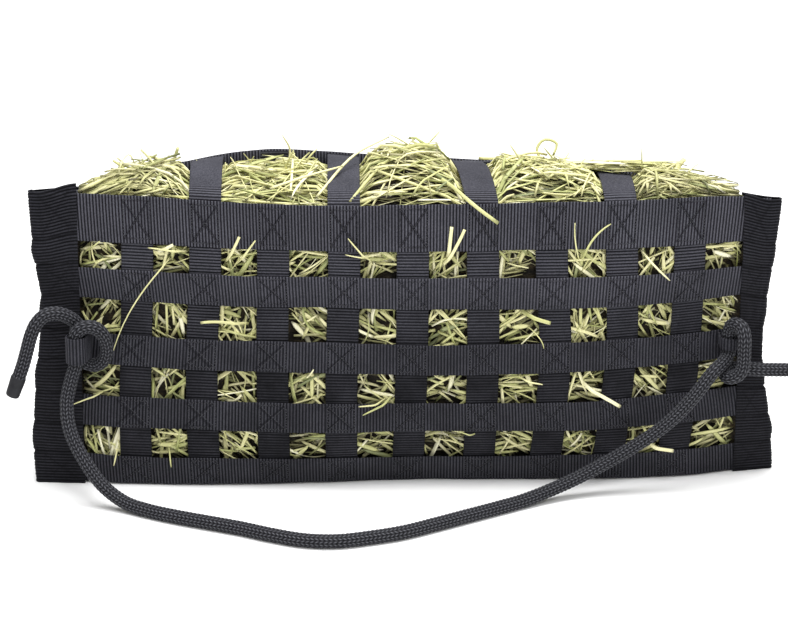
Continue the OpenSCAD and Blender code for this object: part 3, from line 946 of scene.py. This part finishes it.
def end_band(end, inner):
    """Wide webbing folded lengthwise round one end: ribbed, hemmed at the top, bulging between the rows."""
    name = "left_end_band" if end < 0 else "right_end_band"
    flat = float(TIP_X - 0.005 - inner)
    width = 2 * flat + math.pi * FOLD_OUT
    turn = math.pi * FOLD_OUT / width

    def buckle(z, v):
        """How far the band bulges out between the rows."""
        out = np.zeros(np.broadcast(z, v).shape)
        for row in range(4):
            low, high = ROWS[row][1], ROWS[row + 1][0]
            share = np.clip((z - low) / (high - low), 0, 1)
            slack = 0.55 + 0.45 * wobble(v * 130, row * 3 + end)
            out = out + np.sin(math.pi * share) ** 1.5 * 0.0021 * slack
        return out - 0.0004 * np.abs(wobble(z * 420 + v * 60, 5 + end))

    def crease(z, v, fold):
        """1 in the middle of the crease at height fold, which wanders a little across the band."""
        away = z - fold - 0.0012 * wobble(v * 110, fold * 90)
        return np.exp(-(away / 0.0012) ** 2) * (0.6 + 0.4 * wobble(v * 70, fold * 50 + end))

    def place(u, v, d):
        t = u / BAG_H
        z = BAG_H * t
        d = d - 0.0007 * sum(crease(z, v, fold) for row in ROWS[:4] for fold in row)
        edge, middle = end_x(end, z), seam(end, z)
        a = 2 * v / width
        f = np.clip((1 - np.abs(a)) / (1 - turn), 0, 1)
        x = mix(inner, edge, f)
        round_end = np.clip(a / turn, -1, 1) * math.pi / 2
        points = []
        for side in (-1, 1):
            h = fold_height(end, side, x, t)
            level = np.clip(h - rise(side, end * x, h), 0, BAG_H)
            out = FOLD_OUT + d + buckle(level, v) - 0.0013 * ease(h, BAG_H - 0.0010, BAG_H + 0.0012)
            y = face_y(side, end * x, level) + side * out * np.sqrt(1 + lean(side, end * x, level) ** 2)
            points.append(np.stack([end * x, y, h], -1))
        out = FOLD_OUT + d + buckle(z, v)
        tip = np.stack([end * (edge + out * np.cos(round_end)), middle + out * np.sin(round_end),
                        fold_height(end, 1, edge, t)], -1)
        flat_part = np.where((v < 0)[..., None], points[0], points[1])
        return np.where((np.abs(a) < turn)[..., None], tip, flat_part)

    def pressed(u, v):
        sunk = np.zeros(np.broadcast(u, v).shape)
        middle = width / 2 - flat / 2
        half = flat / 2 - 0.005
        for low, high in ROWS:
            box = box_stitch(np.abs(v), u - (low + high) / 2, middle, half, box_half(high - low))
            # The box lines and creases get painted shade as well as sinking in.
            sunk = np.maximum(sunk, np.maximum(0.4 * box, crease(u, v, low) + crease(u, v, high)))
        return sunk

    piece = ribbon_piece(name, place, BAG_H, width, 57, pressed, folded=True)
    return finish_piece(piece, BAND, "webbing", name)


# ---- Straps over the top and rope loops ----


def smooth_line(points, rounds):
    """Points with their corners rounded, the ends kept."""
    p = points.copy()
    for _ in range(rounds):
        p[1:-1] = (p[:-2] + 2 * p[1:-1] + p[2:]) / 4
    return p


def top_lines(i, columns):
    """Middle layer of a strap over the top, column by column: up inside the front, over the hay and down
    inside the back."""
    lines = []
    for x in TOP_STRAP_X[i] + columns:
        top = BAG_H - 0.002
        inside = -PLAY - WEB_T / 2
        far = x + TOP_LEAN[i]
        front = face_point(-1, x, top, inside)
        back = face_point(1, far, top, inside)
        q = np.linspace(0, 1, 61)[1:-1]
        hump = TOP_ARC[i] * np.sin(math.pi * q) ** 0.8 - WEB_T / 2
        y, z = mix(front[1], back[1], q), mix(front[2], back[2], q) + hump
        arch = np.stack([x + TOP_LEAN[i] * q, y, z], -1)
        up = face_point(-1, x, np.linspace(TAB_LOW, BAG_H - 0.012, 10), inside)
        down = face_point(1, far, np.linspace(BAG_H - 0.012, TAB_LOW, 10), inside)
        lines.append(smooth_line(np.vstack([up, arch, down]), 6))
    return np.array(lines)


# Length of the tab at each end of a strap over the top, where its ribs still stand out.
TAB_L = 0.040


def cross_strap(i):
    """Strap over the open top, its ribs pulled flat between the two tabs that are sewn on."""
    name = f"top_strap_{i + 1}"
    guide = top_lines(i, np.zeros(1))[0]
    run = run_along(guide)

    def place(u, v, d):
        return follow(top_lines(i, v[0]), run, u, d, 0.0006, i + 2)

    def smooth(u):
        return ease(u, TAB_L, TAB_L + 0.009) * ease(run[-1] - u, TAB_L, TAB_L + 0.009)

    piece = ribbon_piece(name, place, run[-1], STRAP_W, 13, smooth=smooth)
    return finish_piece(piece, WEBBING, "webbing", name)


def loop_path(passes, radius):
    """Line round the passes of the rope, from the back round the front and back again."""
    first, last = (Vector(p) for p in (passes[0], passes[-1]))
    points = []
    for k in range(181):
        angle = math.radians(90 + 2 * k)
        way = Vector((math.cos(angle), math.sin(angle)))
        hub = max((first, last), key=lambda p: p.xy.dot(way))
        points.append(hub.xy + radius * way)
    return np.array([list(p) for p in points])


LOOP_GAP = 0.0006
# How far ahead and behind along a loop its direction is read.
LOOK = 0.0004


def webbing_loop(end, passes, plate_x):
    """Sewn webbing loop round the rope, and the end of it that is sewn flat to the bag."""
    name = "left_rope_loop" if end < 0 else "right_rope_loop"
    low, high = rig.box(name)
    middle_z, height = (low.z + high.z) / 2, high.z - low.z
    radius = ROPE_D / 2 + LOOP_GAP + WEB_T / 2
    outline = loop_path(passes, radius)
    run = run_along(outline)

    def place(u, v, d):
        xy = read_line(u, run, outline)
        g = unit(read_line(u + LOOK, run, outline) - read_line(u - LOOK, run, outline))
        ripple = 0.00035 * wobble(u / 0.004, 3 + end)
        out = np.stack([g[..., 1], -g[..., 0]], -1)
        xy = xy + out * (d + np.maximum(ripple, 0) + 0.0002)[..., None]
        z = middle_z + v * (1 + 0.03 * wobble(u / 0.007, end))
        return np.concatenate([xy, z[..., None]], -1)

    ring = ribbon_piece(name, place, run[-1], height, 17)
    finish_piece(ring, WEBBING, "webbing", name)
    plate_y = passes[-1][1] + radius + WEB_T - 0.0002
    plate_w = 0.017

    def plate(u, v, d):
        return np.stack([plate_x - plate_w / 2 + u, plate_y - d, middle_z + v], -1)

    tab = ribbon_piece(name + "_end", plate, plate_w, height, 17)
    return finish_piece(tab, WEBBING, "webbing")


# ---- Stalks and stitches ----


def tubes(name, lines, width, flat, roll, taper, values, sides=6, hollow=0.5, facing=(0, 1, 0)):
    """Closed tubes along lines, an array of tubes x points x 3. flat is the height of a tube's section as
    a share of its width, taper the share of the width at each point. values are attributes for each tube.
    Each end is sunk by hollow widths. At roll 0 the flat of a tube faces the way that facing points."""
    count, points = lines.shape[:2]
    tangent = unit(np.gradient(lines, axis=1))
    side = unit(np.cross(tangent, facing) + 1e-6)
    up = np.cross(side, tangent)
    angle = ring_angles(sides)
    cosine = np.cos(angle)[None, None, :, None]
    sine = np.sin(angle)[None, None, :, None] * flat[:, None, None, None]
    c, s = np.cos(roll)[:, None, None], np.sin(roll)[:, None, None]
    across, over = c * side + s * up, -s * side + c * up
    radius = (width[:, None] / 2 * taper)[..., None, None]
    rings = lines[:, :, None] + radius * (cosine * across[:, :, None] + sine * over[:, :, None])
    sunk = hollow * width[:, None]
    caps = np.stack([lines[:, 0] + tangent[:, 0] * sunk, lines[:, -1] - tangent[:, -1] * sunk], 1)
    verts = np.concatenate([rings.reshape(count, -1, 3), caps], 1)
    size = points * sides + 2
    quads = grid_quads(points, sides)
    k = np.arange(sides)
    near = np.stack([k, (k + 1) % sides, np.full(sides, size - 2)], -1)
    last = (points - 1) * sides
    far = np.stack([last + (k + 1) % sides, last + k, np.full(sides, size - 1)], -1)
    shift = np.arange(count)[:, None, None] * size
    steps = np.linalg.norm(np.diff(lines, axis=1), axis=2)
    run = np.concatenate([np.zeros((count, 1)), np.cumsum(steps, axis=1)], 1)
    u = np.concatenate([np.repeat(run, sides, 1), run[:, [0, -1]]], 1)
    v = np.concatenate([np.tile(angle, points), [0, 0]])[None] * width[:, None] / 2
    cut = np.zeros((count, size))
    cut[:, :sides] = cut[:, last:last + sides] = 0.2
    cut[:, -2:] = 1
    attributes = {"u": u, "v": v, "end": cut}
    attributes |= {key: np.broadcast_to(value[:, None], (count, size)) for key, value in values.items()}
    flat_quads = (quads[None] + shift).reshape(-1, 4)
    flat_tris = (np.concatenate([near, far])[None] + shift).reshape(-1, 3)
    return face_outward(new_mesh(name, verts.reshape(-1, 3), flat_quads, flat_tris, attributes))


def stitch_lines(place, centre_u, half_u, half_v, zigzag=0.0007):
    """Stitches of a sewn box with a cross: short lines a little above the webbing."""
    pitch, long = 0.0023, 0.0014
    corners = [(-half_u, -half_v), (half_u, -half_v), (half_u, half_v), (-half_u, half_v)]
    runs = [(corners[k], corners[(k + 1) % 4], zigzag) for k in range(4)]
    runs += [(corners[0], corners[2], 0.0), (corners[1], corners[3], 0.0)]
    made = []
    for a, b, swing in runs:
        a, b = np.array(a), np.array(b)
        far = np.linalg.norm(b - a)
        way = (b - a) / far
        aside = np.array([-way[1], way[0]])
        for k in range(int(far / pitch)):
            start = a + way * (k + 0.25) * pitch + aside * swing * (-1) ** k
            stop = start + way * long - 2 * aside * swing * (-1) ** k
            line = mix(start[None], stop[None], np.linspace(0, 1, 4)[:, None])
            lift = np.array([-0.0001, 0.00015, 0.00015, -0.0001])
            made.append(place(centre_u + line[:, 0], line[:, 1], lift))
    return made


def build_stitches():
    """The thread of the boxes sewn where the rows cross the uprights."""
    for side, name in ((-1, "stitches_front"), (1, "stitches_back")):
        made = []
        for low, high in ROWS:
            middle = (low + high) / 2

            def place(x, v, d):
                return face_point(side, x, middle + v, lay(x) + WEB_T + d)

            for i in range(COLUMNS):
                made += stitch_lines(place, upright_at(i, 0, side, middle), BOX_HALF, box_half(high - low))
        lines = np.array(made)
        count = len(lines)
        taper = np.broadcast_to(np.array([0.6, 1, 1, 0.6]), lines.shape[:2])
        piece = tubes(name, lines, np.full(count, 0.0007), np.full(count, 0.8), np.zeros(count), taper, {},
                      sides=5, hollow=-0.3)
        finish_piece(piece, THREAD, "webbing")


# ---- Hay ----


def under_strap(x, q):
    """1 under a strap over the top, 0 well away from all of them."""
    near = [1 - ease(np.abs(x - sx - tilt * q), 0.0135, 0.0215) for sx, tilt in zip(TOP_STRAP_X, TOP_LEAN)]
    return np.max(near, axis=0)


HEAP_PAD = 0.003


def across(x, z, q):
    """Place q of the way from the front to the back of the hay."""
    return mix(face_y(-1, x, z) + HEAP_PAD, face_y(1, x, z) - HEAP_PAD, q)


def keep_between(lines, margin):
    """Lines at the top of the bag with their points moved back between its faces."""
    x = lines[..., 0]
    lines[..., 1] = np.clip(lines[..., 1], face_y(-1, x, BAG_H) + margin, face_y(1, x, BAG_H) - margin)
    return lines


def heap_point(x, q, deep):
    """Point deep below the top of the heaped hay, q of the way from the front to the back."""
    hump = np.maximum(np.sin(math.pi * q), 0) ** 0.8
    full = HEAP_RISE * along(HEAP_SHAPE, 0.5 + x / (2 * HEAP_REACH))
    full = full * mix(0.35, 1, ease(x, -LEFT_INNER, -0.232))
    held = np.minimum(full, 0.009)
    billow = 1 + 0.05 * np.sin(np.radians(x * 1900)) + 0.04 * np.sin(np.radians(x * 4300 + 60))
    top = BAG_H - 0.007
    z = top + hump * mix(full * billow, held, under_strap(x, q)) + rise(1, x, top) * q / 2
    return np.stack([x, across(x, top, q), z - deep], -1)


def hay_core():
    """Packed hay under the stalks, with a rough skin, its dark colour painted shade."""
    rng = np.random.default_rng(3)
    rings = []
    inset = 0.0085
    top, low = BAG_H - 0.016, 0.014
    for x in np.linspace(-LEFT_INNER - 0.004, RIGHT_INNER + 0.004, 150):
        q = np.linspace(0, 1, 18)[1:-1]
        over = heap_point(np.full(len(q), x), q, 0.012)
        front = face_point(-1, x, np.linspace(low, top, 20), -inset)
        back = face_point(1, x, np.linspace(top, low, 20), -inset)
        under = np.stack([np.full(4, x), mix(back[-1, 1], front[0, 1], np.array([0.2, 0.4, 0.6, 0.8])),
                          np.full(4, 0.0075)], -1)
        rings.append(np.vstack([front, over, back, under]))
    rings = np.array(rings)
    rings += rng.normal(0, 0.0006, rings.shape)
    return finish_piece(skin("hay_core", rings), CORE, "hay", "hay_fill")


def finish_stalks(rng, lines, forms, steps, shade):
    """What tubes() needs to make stalks of their lines and forms: blades run to a point at both ends."""
    blade, width, flat, roll = forms
    taper = np.where(blade[:, None], 1 - 0.75 * np.abs(steps * 2) ** 3, 1.0 + 0 * steps)
    tone = np.clip(rng.normal(0.55, 0.24, len(width)), 0, 1)
    # shade is painted shade, kept in the deep attribute.
    return lines, width, flat, roll, taper, {"tone": tone, "deep": shade}


def stalk_forms(rng, count, blades):
    """Width, flatness and roll of stalks, a share of them flat leaf blades."""
    blade = rng.random(count) < blades
    width = np.where(blade, rng.uniform(0.0022, 0.0042, count), rng.uniform(0.0008, 0.0026, count))
    flat = np.where(blade, rng.uniform(0.12, 0.3, count), rng.uniform(0.5, 0.95, count))
    roll = np.where(blade, rng.normal(0, 0.4, count), rng.uniform(0, math.pi, count))
    return blade, width, flat, roll


def slide(value, low, high):
    """Whole stalks moved to lie between low and high."""
    value = value - np.maximum(value.max(1, keepdims=True) - high, 0)
    return value + np.maximum(low - value.min(1, keepdims=True), 0)


def stalk_plan(rng, centre_a, centre_b, way, length, points, curly):
    """Two coordinates of the points of stalks about their centres, a share of them curly."""
    steps = np.linspace(-0.5, 0.5, points)[None]
    curl = np.where(rng.random(len(way)) < curly, 0.13, 0.02) * rng.normal(0, 1, len(way))
    bend = (curl * length)[:, None] * (steps ** 2 * 4 - 0.5)
    run = steps * length[:, None]
    a = centre_a[:, None] + np.cos(way)[:, None] * run - np.sin(way)[:, None] * bend
    b = centre_b[:, None] + np.sin(way)[:, None] * run + np.cos(way)[:, None] * bend
    return a, b, run, steps


def opening_stalks(rng, side, column, row, count):
    """Stalks that lie behind one opening of the net, in every direction."""
    low, high = ROWS[row][1], ROWS[row + 1][0]
    middle = (low + high) / 2
    left = upright_at(column - 1, STRAP_W / 2, side, middle) if column > 0 else -LEFT_INNER
    right = upright_at(column, -STRAP_W / 2, side, middle) if column < COLUMNS else RIGHT_INNER
    x = rng.uniform(left - 0.003, right + 0.003, count)
    z = rng.uniform(low - 0.004, high + 0.004, count)
    deep = 0.0010 + 0.0110 * rng.random(count)
    lean_way = rng.normal(0, 0.7)
    way = np.where(rng.random(count) < 0.5, rng.normal(lean_way, 0.4, count),
                   rng.uniform(-math.pi / 2, math.pi / 2, count))
    length = rng.uniform(0.014, 0.044, count)
    forms = stalk_forms(rng, count, 0.45)
    width = forms[1][:, None]
    px, pz, run, steps = stalk_plan(rng, x, z, way, length, 6, 0.15)
    px = slide(px, -LEFT_INNER + 0.001, RIGHT_INNER - 0.001)
    pz = slide(pz, 0.016, BAG_H - 0.016)
    tilt = rng.normal(0, 0.14, count)[:, None]
    pd = np.maximum(deep[:, None] + tilt * run, 0.0006 + width * 0.35)
    pd = np.minimum(pd, 0.4 * (face_y(1, px, pz) - face_y(-1, px, pz)))
    lines = face_point(side, px, pz, -pd)
    # Painted shade: deeper stalks are darker, and the lower rows darker than the upper.
    lit = mix(0.0018, 0.0045, ease(middle, 0.080, 0.142))
    shade = np.clip((deep - lit) / 0.008, 0, 0.92)
    return finish_stalks(rng, lines, forms, steps, shade)


def join(parts):
    """One set of tubes from several."""
    *arrays, values = zip(*parts)
    together = {key: np.concatenate([v[key] for v in values]) for key in values[0]}
    return *(np.concatenate(a) for a in arrays), together


def build_openings():
    """The hay that shows through the openings of both faces, row by row."""
    rng = np.random.default_rng(11)
    for side, name, count in ((-1, "hay_front", 52), (1, "hay_back", 36)):
        for row in range(4):
            parts = [opening_stalks(rng, side, column, row, count) for column in range(COLUMNS + 1)]
            piece = tubes(f"{name}_{row + 1}", *join(parts))
            finish_piece(piece, STRAW, "hay")


def heap_plan(rng, x, q, way, length, blades, front, back):
    """Forms and plan of stalks on the heap, kept between two places from front to back."""
    forms = stalk_forms(rng, len(x), blades)
    span = face_y(1, x, BAG_H) - face_y(-1, x, BAG_H)
    px, py, run, steps = stalk_plan(rng, x, q * span, way, length, 8, 0.12)
    return forms, px, slide(py / span[:, None], front, back), run, steps


def heap_stalks(rng, count, lift, spread, low=(-LEFT_INNER, 0.03), high=(RIGHT_INNER, 0.97)):
    """Stiff stalks on top of the bag that lie mostly along it and lean on the heap, over the part between
    two corners, each given by its place along the bag and from front to back. Both ends of the bag are a
    little in shade."""
    x = rng.uniform(low[0], high[0], count)
    q = rng.uniform(low[1], high[1], count)
    deep = 0.0015 + 0.011 * rng.random(count) - lift
    way = rng.normal(0, spread, count)
    length = rng.uniform(0.024, 0.085, count)
    forms, px, pq, run, steps = heap_plan(rng, x, q, way, length, 0.4, 0.03, 0.97)
    px = slide(px, -LEFT_INNER + 0.001, RIGHT_INNER - 0.004)
    thick = 0.4 * forms[1][:, None]
    lines = heap_point(px, pq, deep[:, None] + thick)
    middle = (lines[:, 3:4] + lines[:, 4:5]) / 2
    straight = middle + steps[..., None] * (lines[:, -1:] - lines[:, :1])
    straight[..., 2] += rng.normal(0, 0.07, count)[:, None] * run
    lines = mix(lines, straight, rng.uniform(0.5, 1.0, count)[:, None, None])
    lines = keep_between(lines, 0.002 + thick)
    over = heap_point(lines[..., 0], pq, 0.0006 + thick)[..., 2]
    free = 1 - under_strap(lines[..., 0], pq)
    lines[..., 2] = np.minimum(lines[..., 2], over + 0.006 * ease(free, 0.5, 1.0))
    # Painted shade: deeper stalks are darker, and a little more at both ends of the bag.
    end = ease(np.abs(x), 0.165, 0.200)
    shade = np.maximum(np.clip((deep - 0.004) / 0.009, 0, 0.75), 0.2 * end) + 0.05 * end
    return finish_stalks(rng, lines, forms, steps, shade)


def drift_stalks(rng, count):
    """Stalks that have slid over the far half of the right-hand strap and hide it."""
    last = len(TOP_STRAP_X) - 1
    strap = top_lines(last, np.zeros(1))[0]
    strap = strap[np.gradient(strap[:, 1]) > 0.0001]
    x = TOP_STRAP_X[last] + rng.uniform(-0.034, 0.034, count)
    q = rng.uniform(0.66, 0.92, count)
    way = rng.normal(0, 0.22, count)
    length = rng.uniform(0.022, 0.056, count)
    forms, px, pq, run, steps = heap_plan(rng, x, q, way, length, 0.5, 0.58, 0.95)
    y = across(px, BAG_H, pq)
    lift = rng.uniform(0.0008, 0.0085, count)[:, None] + rng.normal(0, 0.04, count)[:, None] * run
    on_strap = np.interp(y, strap[:, 1], strap[:, 2]) + WEB_T / 2 + 0.5 * forms[1][:, None]
    z = on_strap + np.maximum(lift, 0.0004)
    # Painted shade: the lower a stalk lies over the strap, the darker it is.
    shade = np.clip(0.5 - lift[:, 0] * 90, 0, 0.6)
    return finish_stalks(rng, np.stack([px, y, z], -1), forms, steps, shade)


# Stalks pulled out through the front openings, in millimetres and degrees: where each starts, the way it
# goes on the face, how far it turns, its length and its width.
PULLED = [
    (32, 194, 84, 0, 30, 3.0), (28, 190, 55, 12, 36, 2.6), (-27, 193, 132, -5, 29, 1.6),
    (-24, 198, 176, -10, 24, 1.4), (136, 192, 112, -25, 34, 1.2), (137, 192, 84, -54, 40, 1.8),
    (-171, 198, 172, 5, 31, 2.0), (-197, 195, 35, -5, 18, 2.6), (-141, 191, 62, 5, 26, 2.4),
    (-133, 189, 56, 0, 28, 2.0), (-124, 140, 160, 30, 38, 2.8), (184, 200, -48, 5, 32, 1.8),
    (90, 153, -18, 0, 24, 3.2), (94, 140, -10, -70, 22, 1.0), (138, 92, -30, -5, 38, 3.0),
    (86, 99, -12, 0, 22, 1.6), (190, 36, -22, 10, 26, 3.0), (-14, 79, 192, -8, 24, 1.8),
    (-9, 82, 208, 0, 29, 2.0), (-238, 80, 200, 5, 30, 1.6), (-230, 34, -105, 0, 15, 1.4),
    (-190, 34, -75, -10, 14, 1.4), (-184, 193, -137, 31, 98, 1.3), (-80, 94, 60, 0, 14, 1.6),
    (60, 45, 150, 10, 20, 1.4), (-252, 194, 40, 0, 16, 1.6),
]
# Long stalks that lie on the heap or stand out of it, in millimetres: width, then points.
LAID = [
    (3.0, (15, -12, 256), (36, -40, 250), (49, -62, 245), (60, -66, 237), (71, -67, 229)),
    (2.2, (-106, -40, 249), (-80, -30, 255), (-49, -18, 260)),
    (1.4, (-226, -10, 248), (-222, -8, 262), (-217, -4, 266), (-211, 1, 250)),
    (2.8, (-187, 8, 240), (-183, 10, 255), (-179, 10, 267)),
    (2.0, (-94, 30, 240), (-91, 32, 257), (-97, 28, 271)),
    (2.4, (112, 28, 246), (106, 32, 256), (112, 34, 264), (122, 33, 261), (119, 29, 252)),
    (4.0, (204, -17, 240), (212, -13, 252), (220, -10, 262)),
    (2.2, (-70, -44, 243), (-40, 0, 263), (-12, 22, 271)),
    (2.4, (-44, -50, 241), (-20, -18, 259), (4, 8, 268)),
    (1.8, (152, -40, 241), (138, -18, 252), (118, 5, 259)),
    (2.8, (126, 16, 247), (148, 20, 247), (170, 20, 245), (194, 16, 245)),
    (2.2, (134, 20, 246), (156, 22, 246), (182, 20, 244)),
    (1.8, (142, 12, 249), (165, 18, 247), (188, 8, 248)),
    (2.6, (110, 30, 243), (136, 28, 244), (160, 26, 243)),
    (1.6, (150, 24, 244), (170, 24, 244), (194, 20, 242)),
    (2.4, (60, 42, 246), (90, 40, 246), (118, 32, 247)),
    (2.0, (146, 8, 249), (162, 16, 247), (172, 24, 243)),
    (2.4, (190, 4, 249), (172, 16, 247), (156, 26, 242)),
]


# Where along the bag, in millimetres, tufts of loose stalks stand up at the back of the heap.
TUFTS = [-215, -195, -150, -130, -95, -85, -30, -12, 0, 15, 95, 118, 130, 185, 200, 212]
TUFT_STALKS = 4


def loose_stalk(rng, middle, t):
    """Short stalk that stands up out of the back half of the heap and droops."""
    x = middle / 1000 + rng.normal(0, 0.005)
    foot = heap_point(np.array(x), np.array(rng.uniform(0.45, 0.9)), 0.004)
    way, up = rng.uniform(-math.pi, math.pi), rng.uniform(0.35, 1.05)
    length = rng.uniform(0.012, 0.026)
    ahead = np.array([math.cos(way) * math.cos(up), 0.4 * math.sin(way) * math.cos(up), math.sin(up)])
    droop = np.array([0, 0, -rng.uniform(0, 0.3)])
    return keep_between(foot + length * (t[:, None] * ahead + t[:, None] ** 2 * droop), HEAP_PAD)


def build_sprigs():
    """The stalks that stand out: pulled through the openings, laid over the heap, and loose in tufts."""
    rng = np.random.default_rng(5)
    points = 14
    t = np.linspace(0, 1, points)
    lines, width = [], []
    for x, z, way, turn, length, thick in PULLED:
        heading = np.radians(way + turn * t)
        step = length / 1000 / (points - 1)
        out = mix(-0.004, 0.0063, ease(t * length, 0, 12))
        px = x / 1000 + step * (np.cumsum(np.cos(heading)) - np.cos(heading[0]))
        pz = z / 1000 + step * (np.cumsum(np.sin(heading)) - np.sin(heading[0]))
        lines.append(face_point(-1, px, pz, out))
        width.append(thick / 1000)
    for thick, *route in LAID:
        path, run = smooth_path(route, 0.0004)
        lines.append(read_line(t * run[-1], run, path))
        width.append(thick / 1000)
    for middle in TUFTS:
        for _ in range(TUFT_STALKS):
            lines.append(loose_stalk(rng, middle, t))
            width.append(rng.uniform(0.0009, 0.0024))
    width = np.array(width)
    count = len(width)
    flat = np.where(width > 0.0025, 0.35, 0.7)
    taper = 1 - np.where(width > 0.0023, 0.1, 0.5)[:, None] * t ** 3
    values = {"tone": rng.uniform(0.35, 0.9, count), "deep": np.zeros(count)}
    piece = tubes("hay_sprigs", np.array(lines), width, flat, np.full(count, 0.3), taper, values, sides=8)
    finish_piece(piece, STRAW, "hay")


def build_heap():
    """The hay on top: stalks along the bag, crossed ones over them, a rim at the back and a drift."""
    rng = np.random.default_rng(29)
    layers = [
        heap_stalks(rng, 1150, 0.0, 0.22),
        heap_stalks(rng, 520, 0.002, 0.75),
        heap_stalks(rng, 90, 0.006, 0.1, (0.050, 0.86), (0.235, 0.96)),
        drift_stalks(rng, 120),
    ]
    for i, layer in enumerate(layers):
        finish_piece(tubes(f"hay_top_{i + 1}", *layer, facing=(0, 0, 1)), STRAW, "hay")


# ---- Assembly ----

end_band(-1, LEFT_INNER)
end_band(1, RIGHT_INNER)
for strap in range(len(TOP_STRAP_X)):
    cross_strap(strap)
webbing_loop(-1, [(-0.260, -0.056, 0), (-0.256, -0.0447, 0)], -0.258)
webbing_loop(1, [(0.2565, -0.045, 0)], 0.2565)
build_stitches()
hay_core()
build_openings()
build_heap()
build_sprigs()

size = {"cad": [list(c) for c in CAD_BOX], "visual": [list(c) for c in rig.bounds()]}
with open("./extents.json", "w") as f:
    json.dump(size, f)
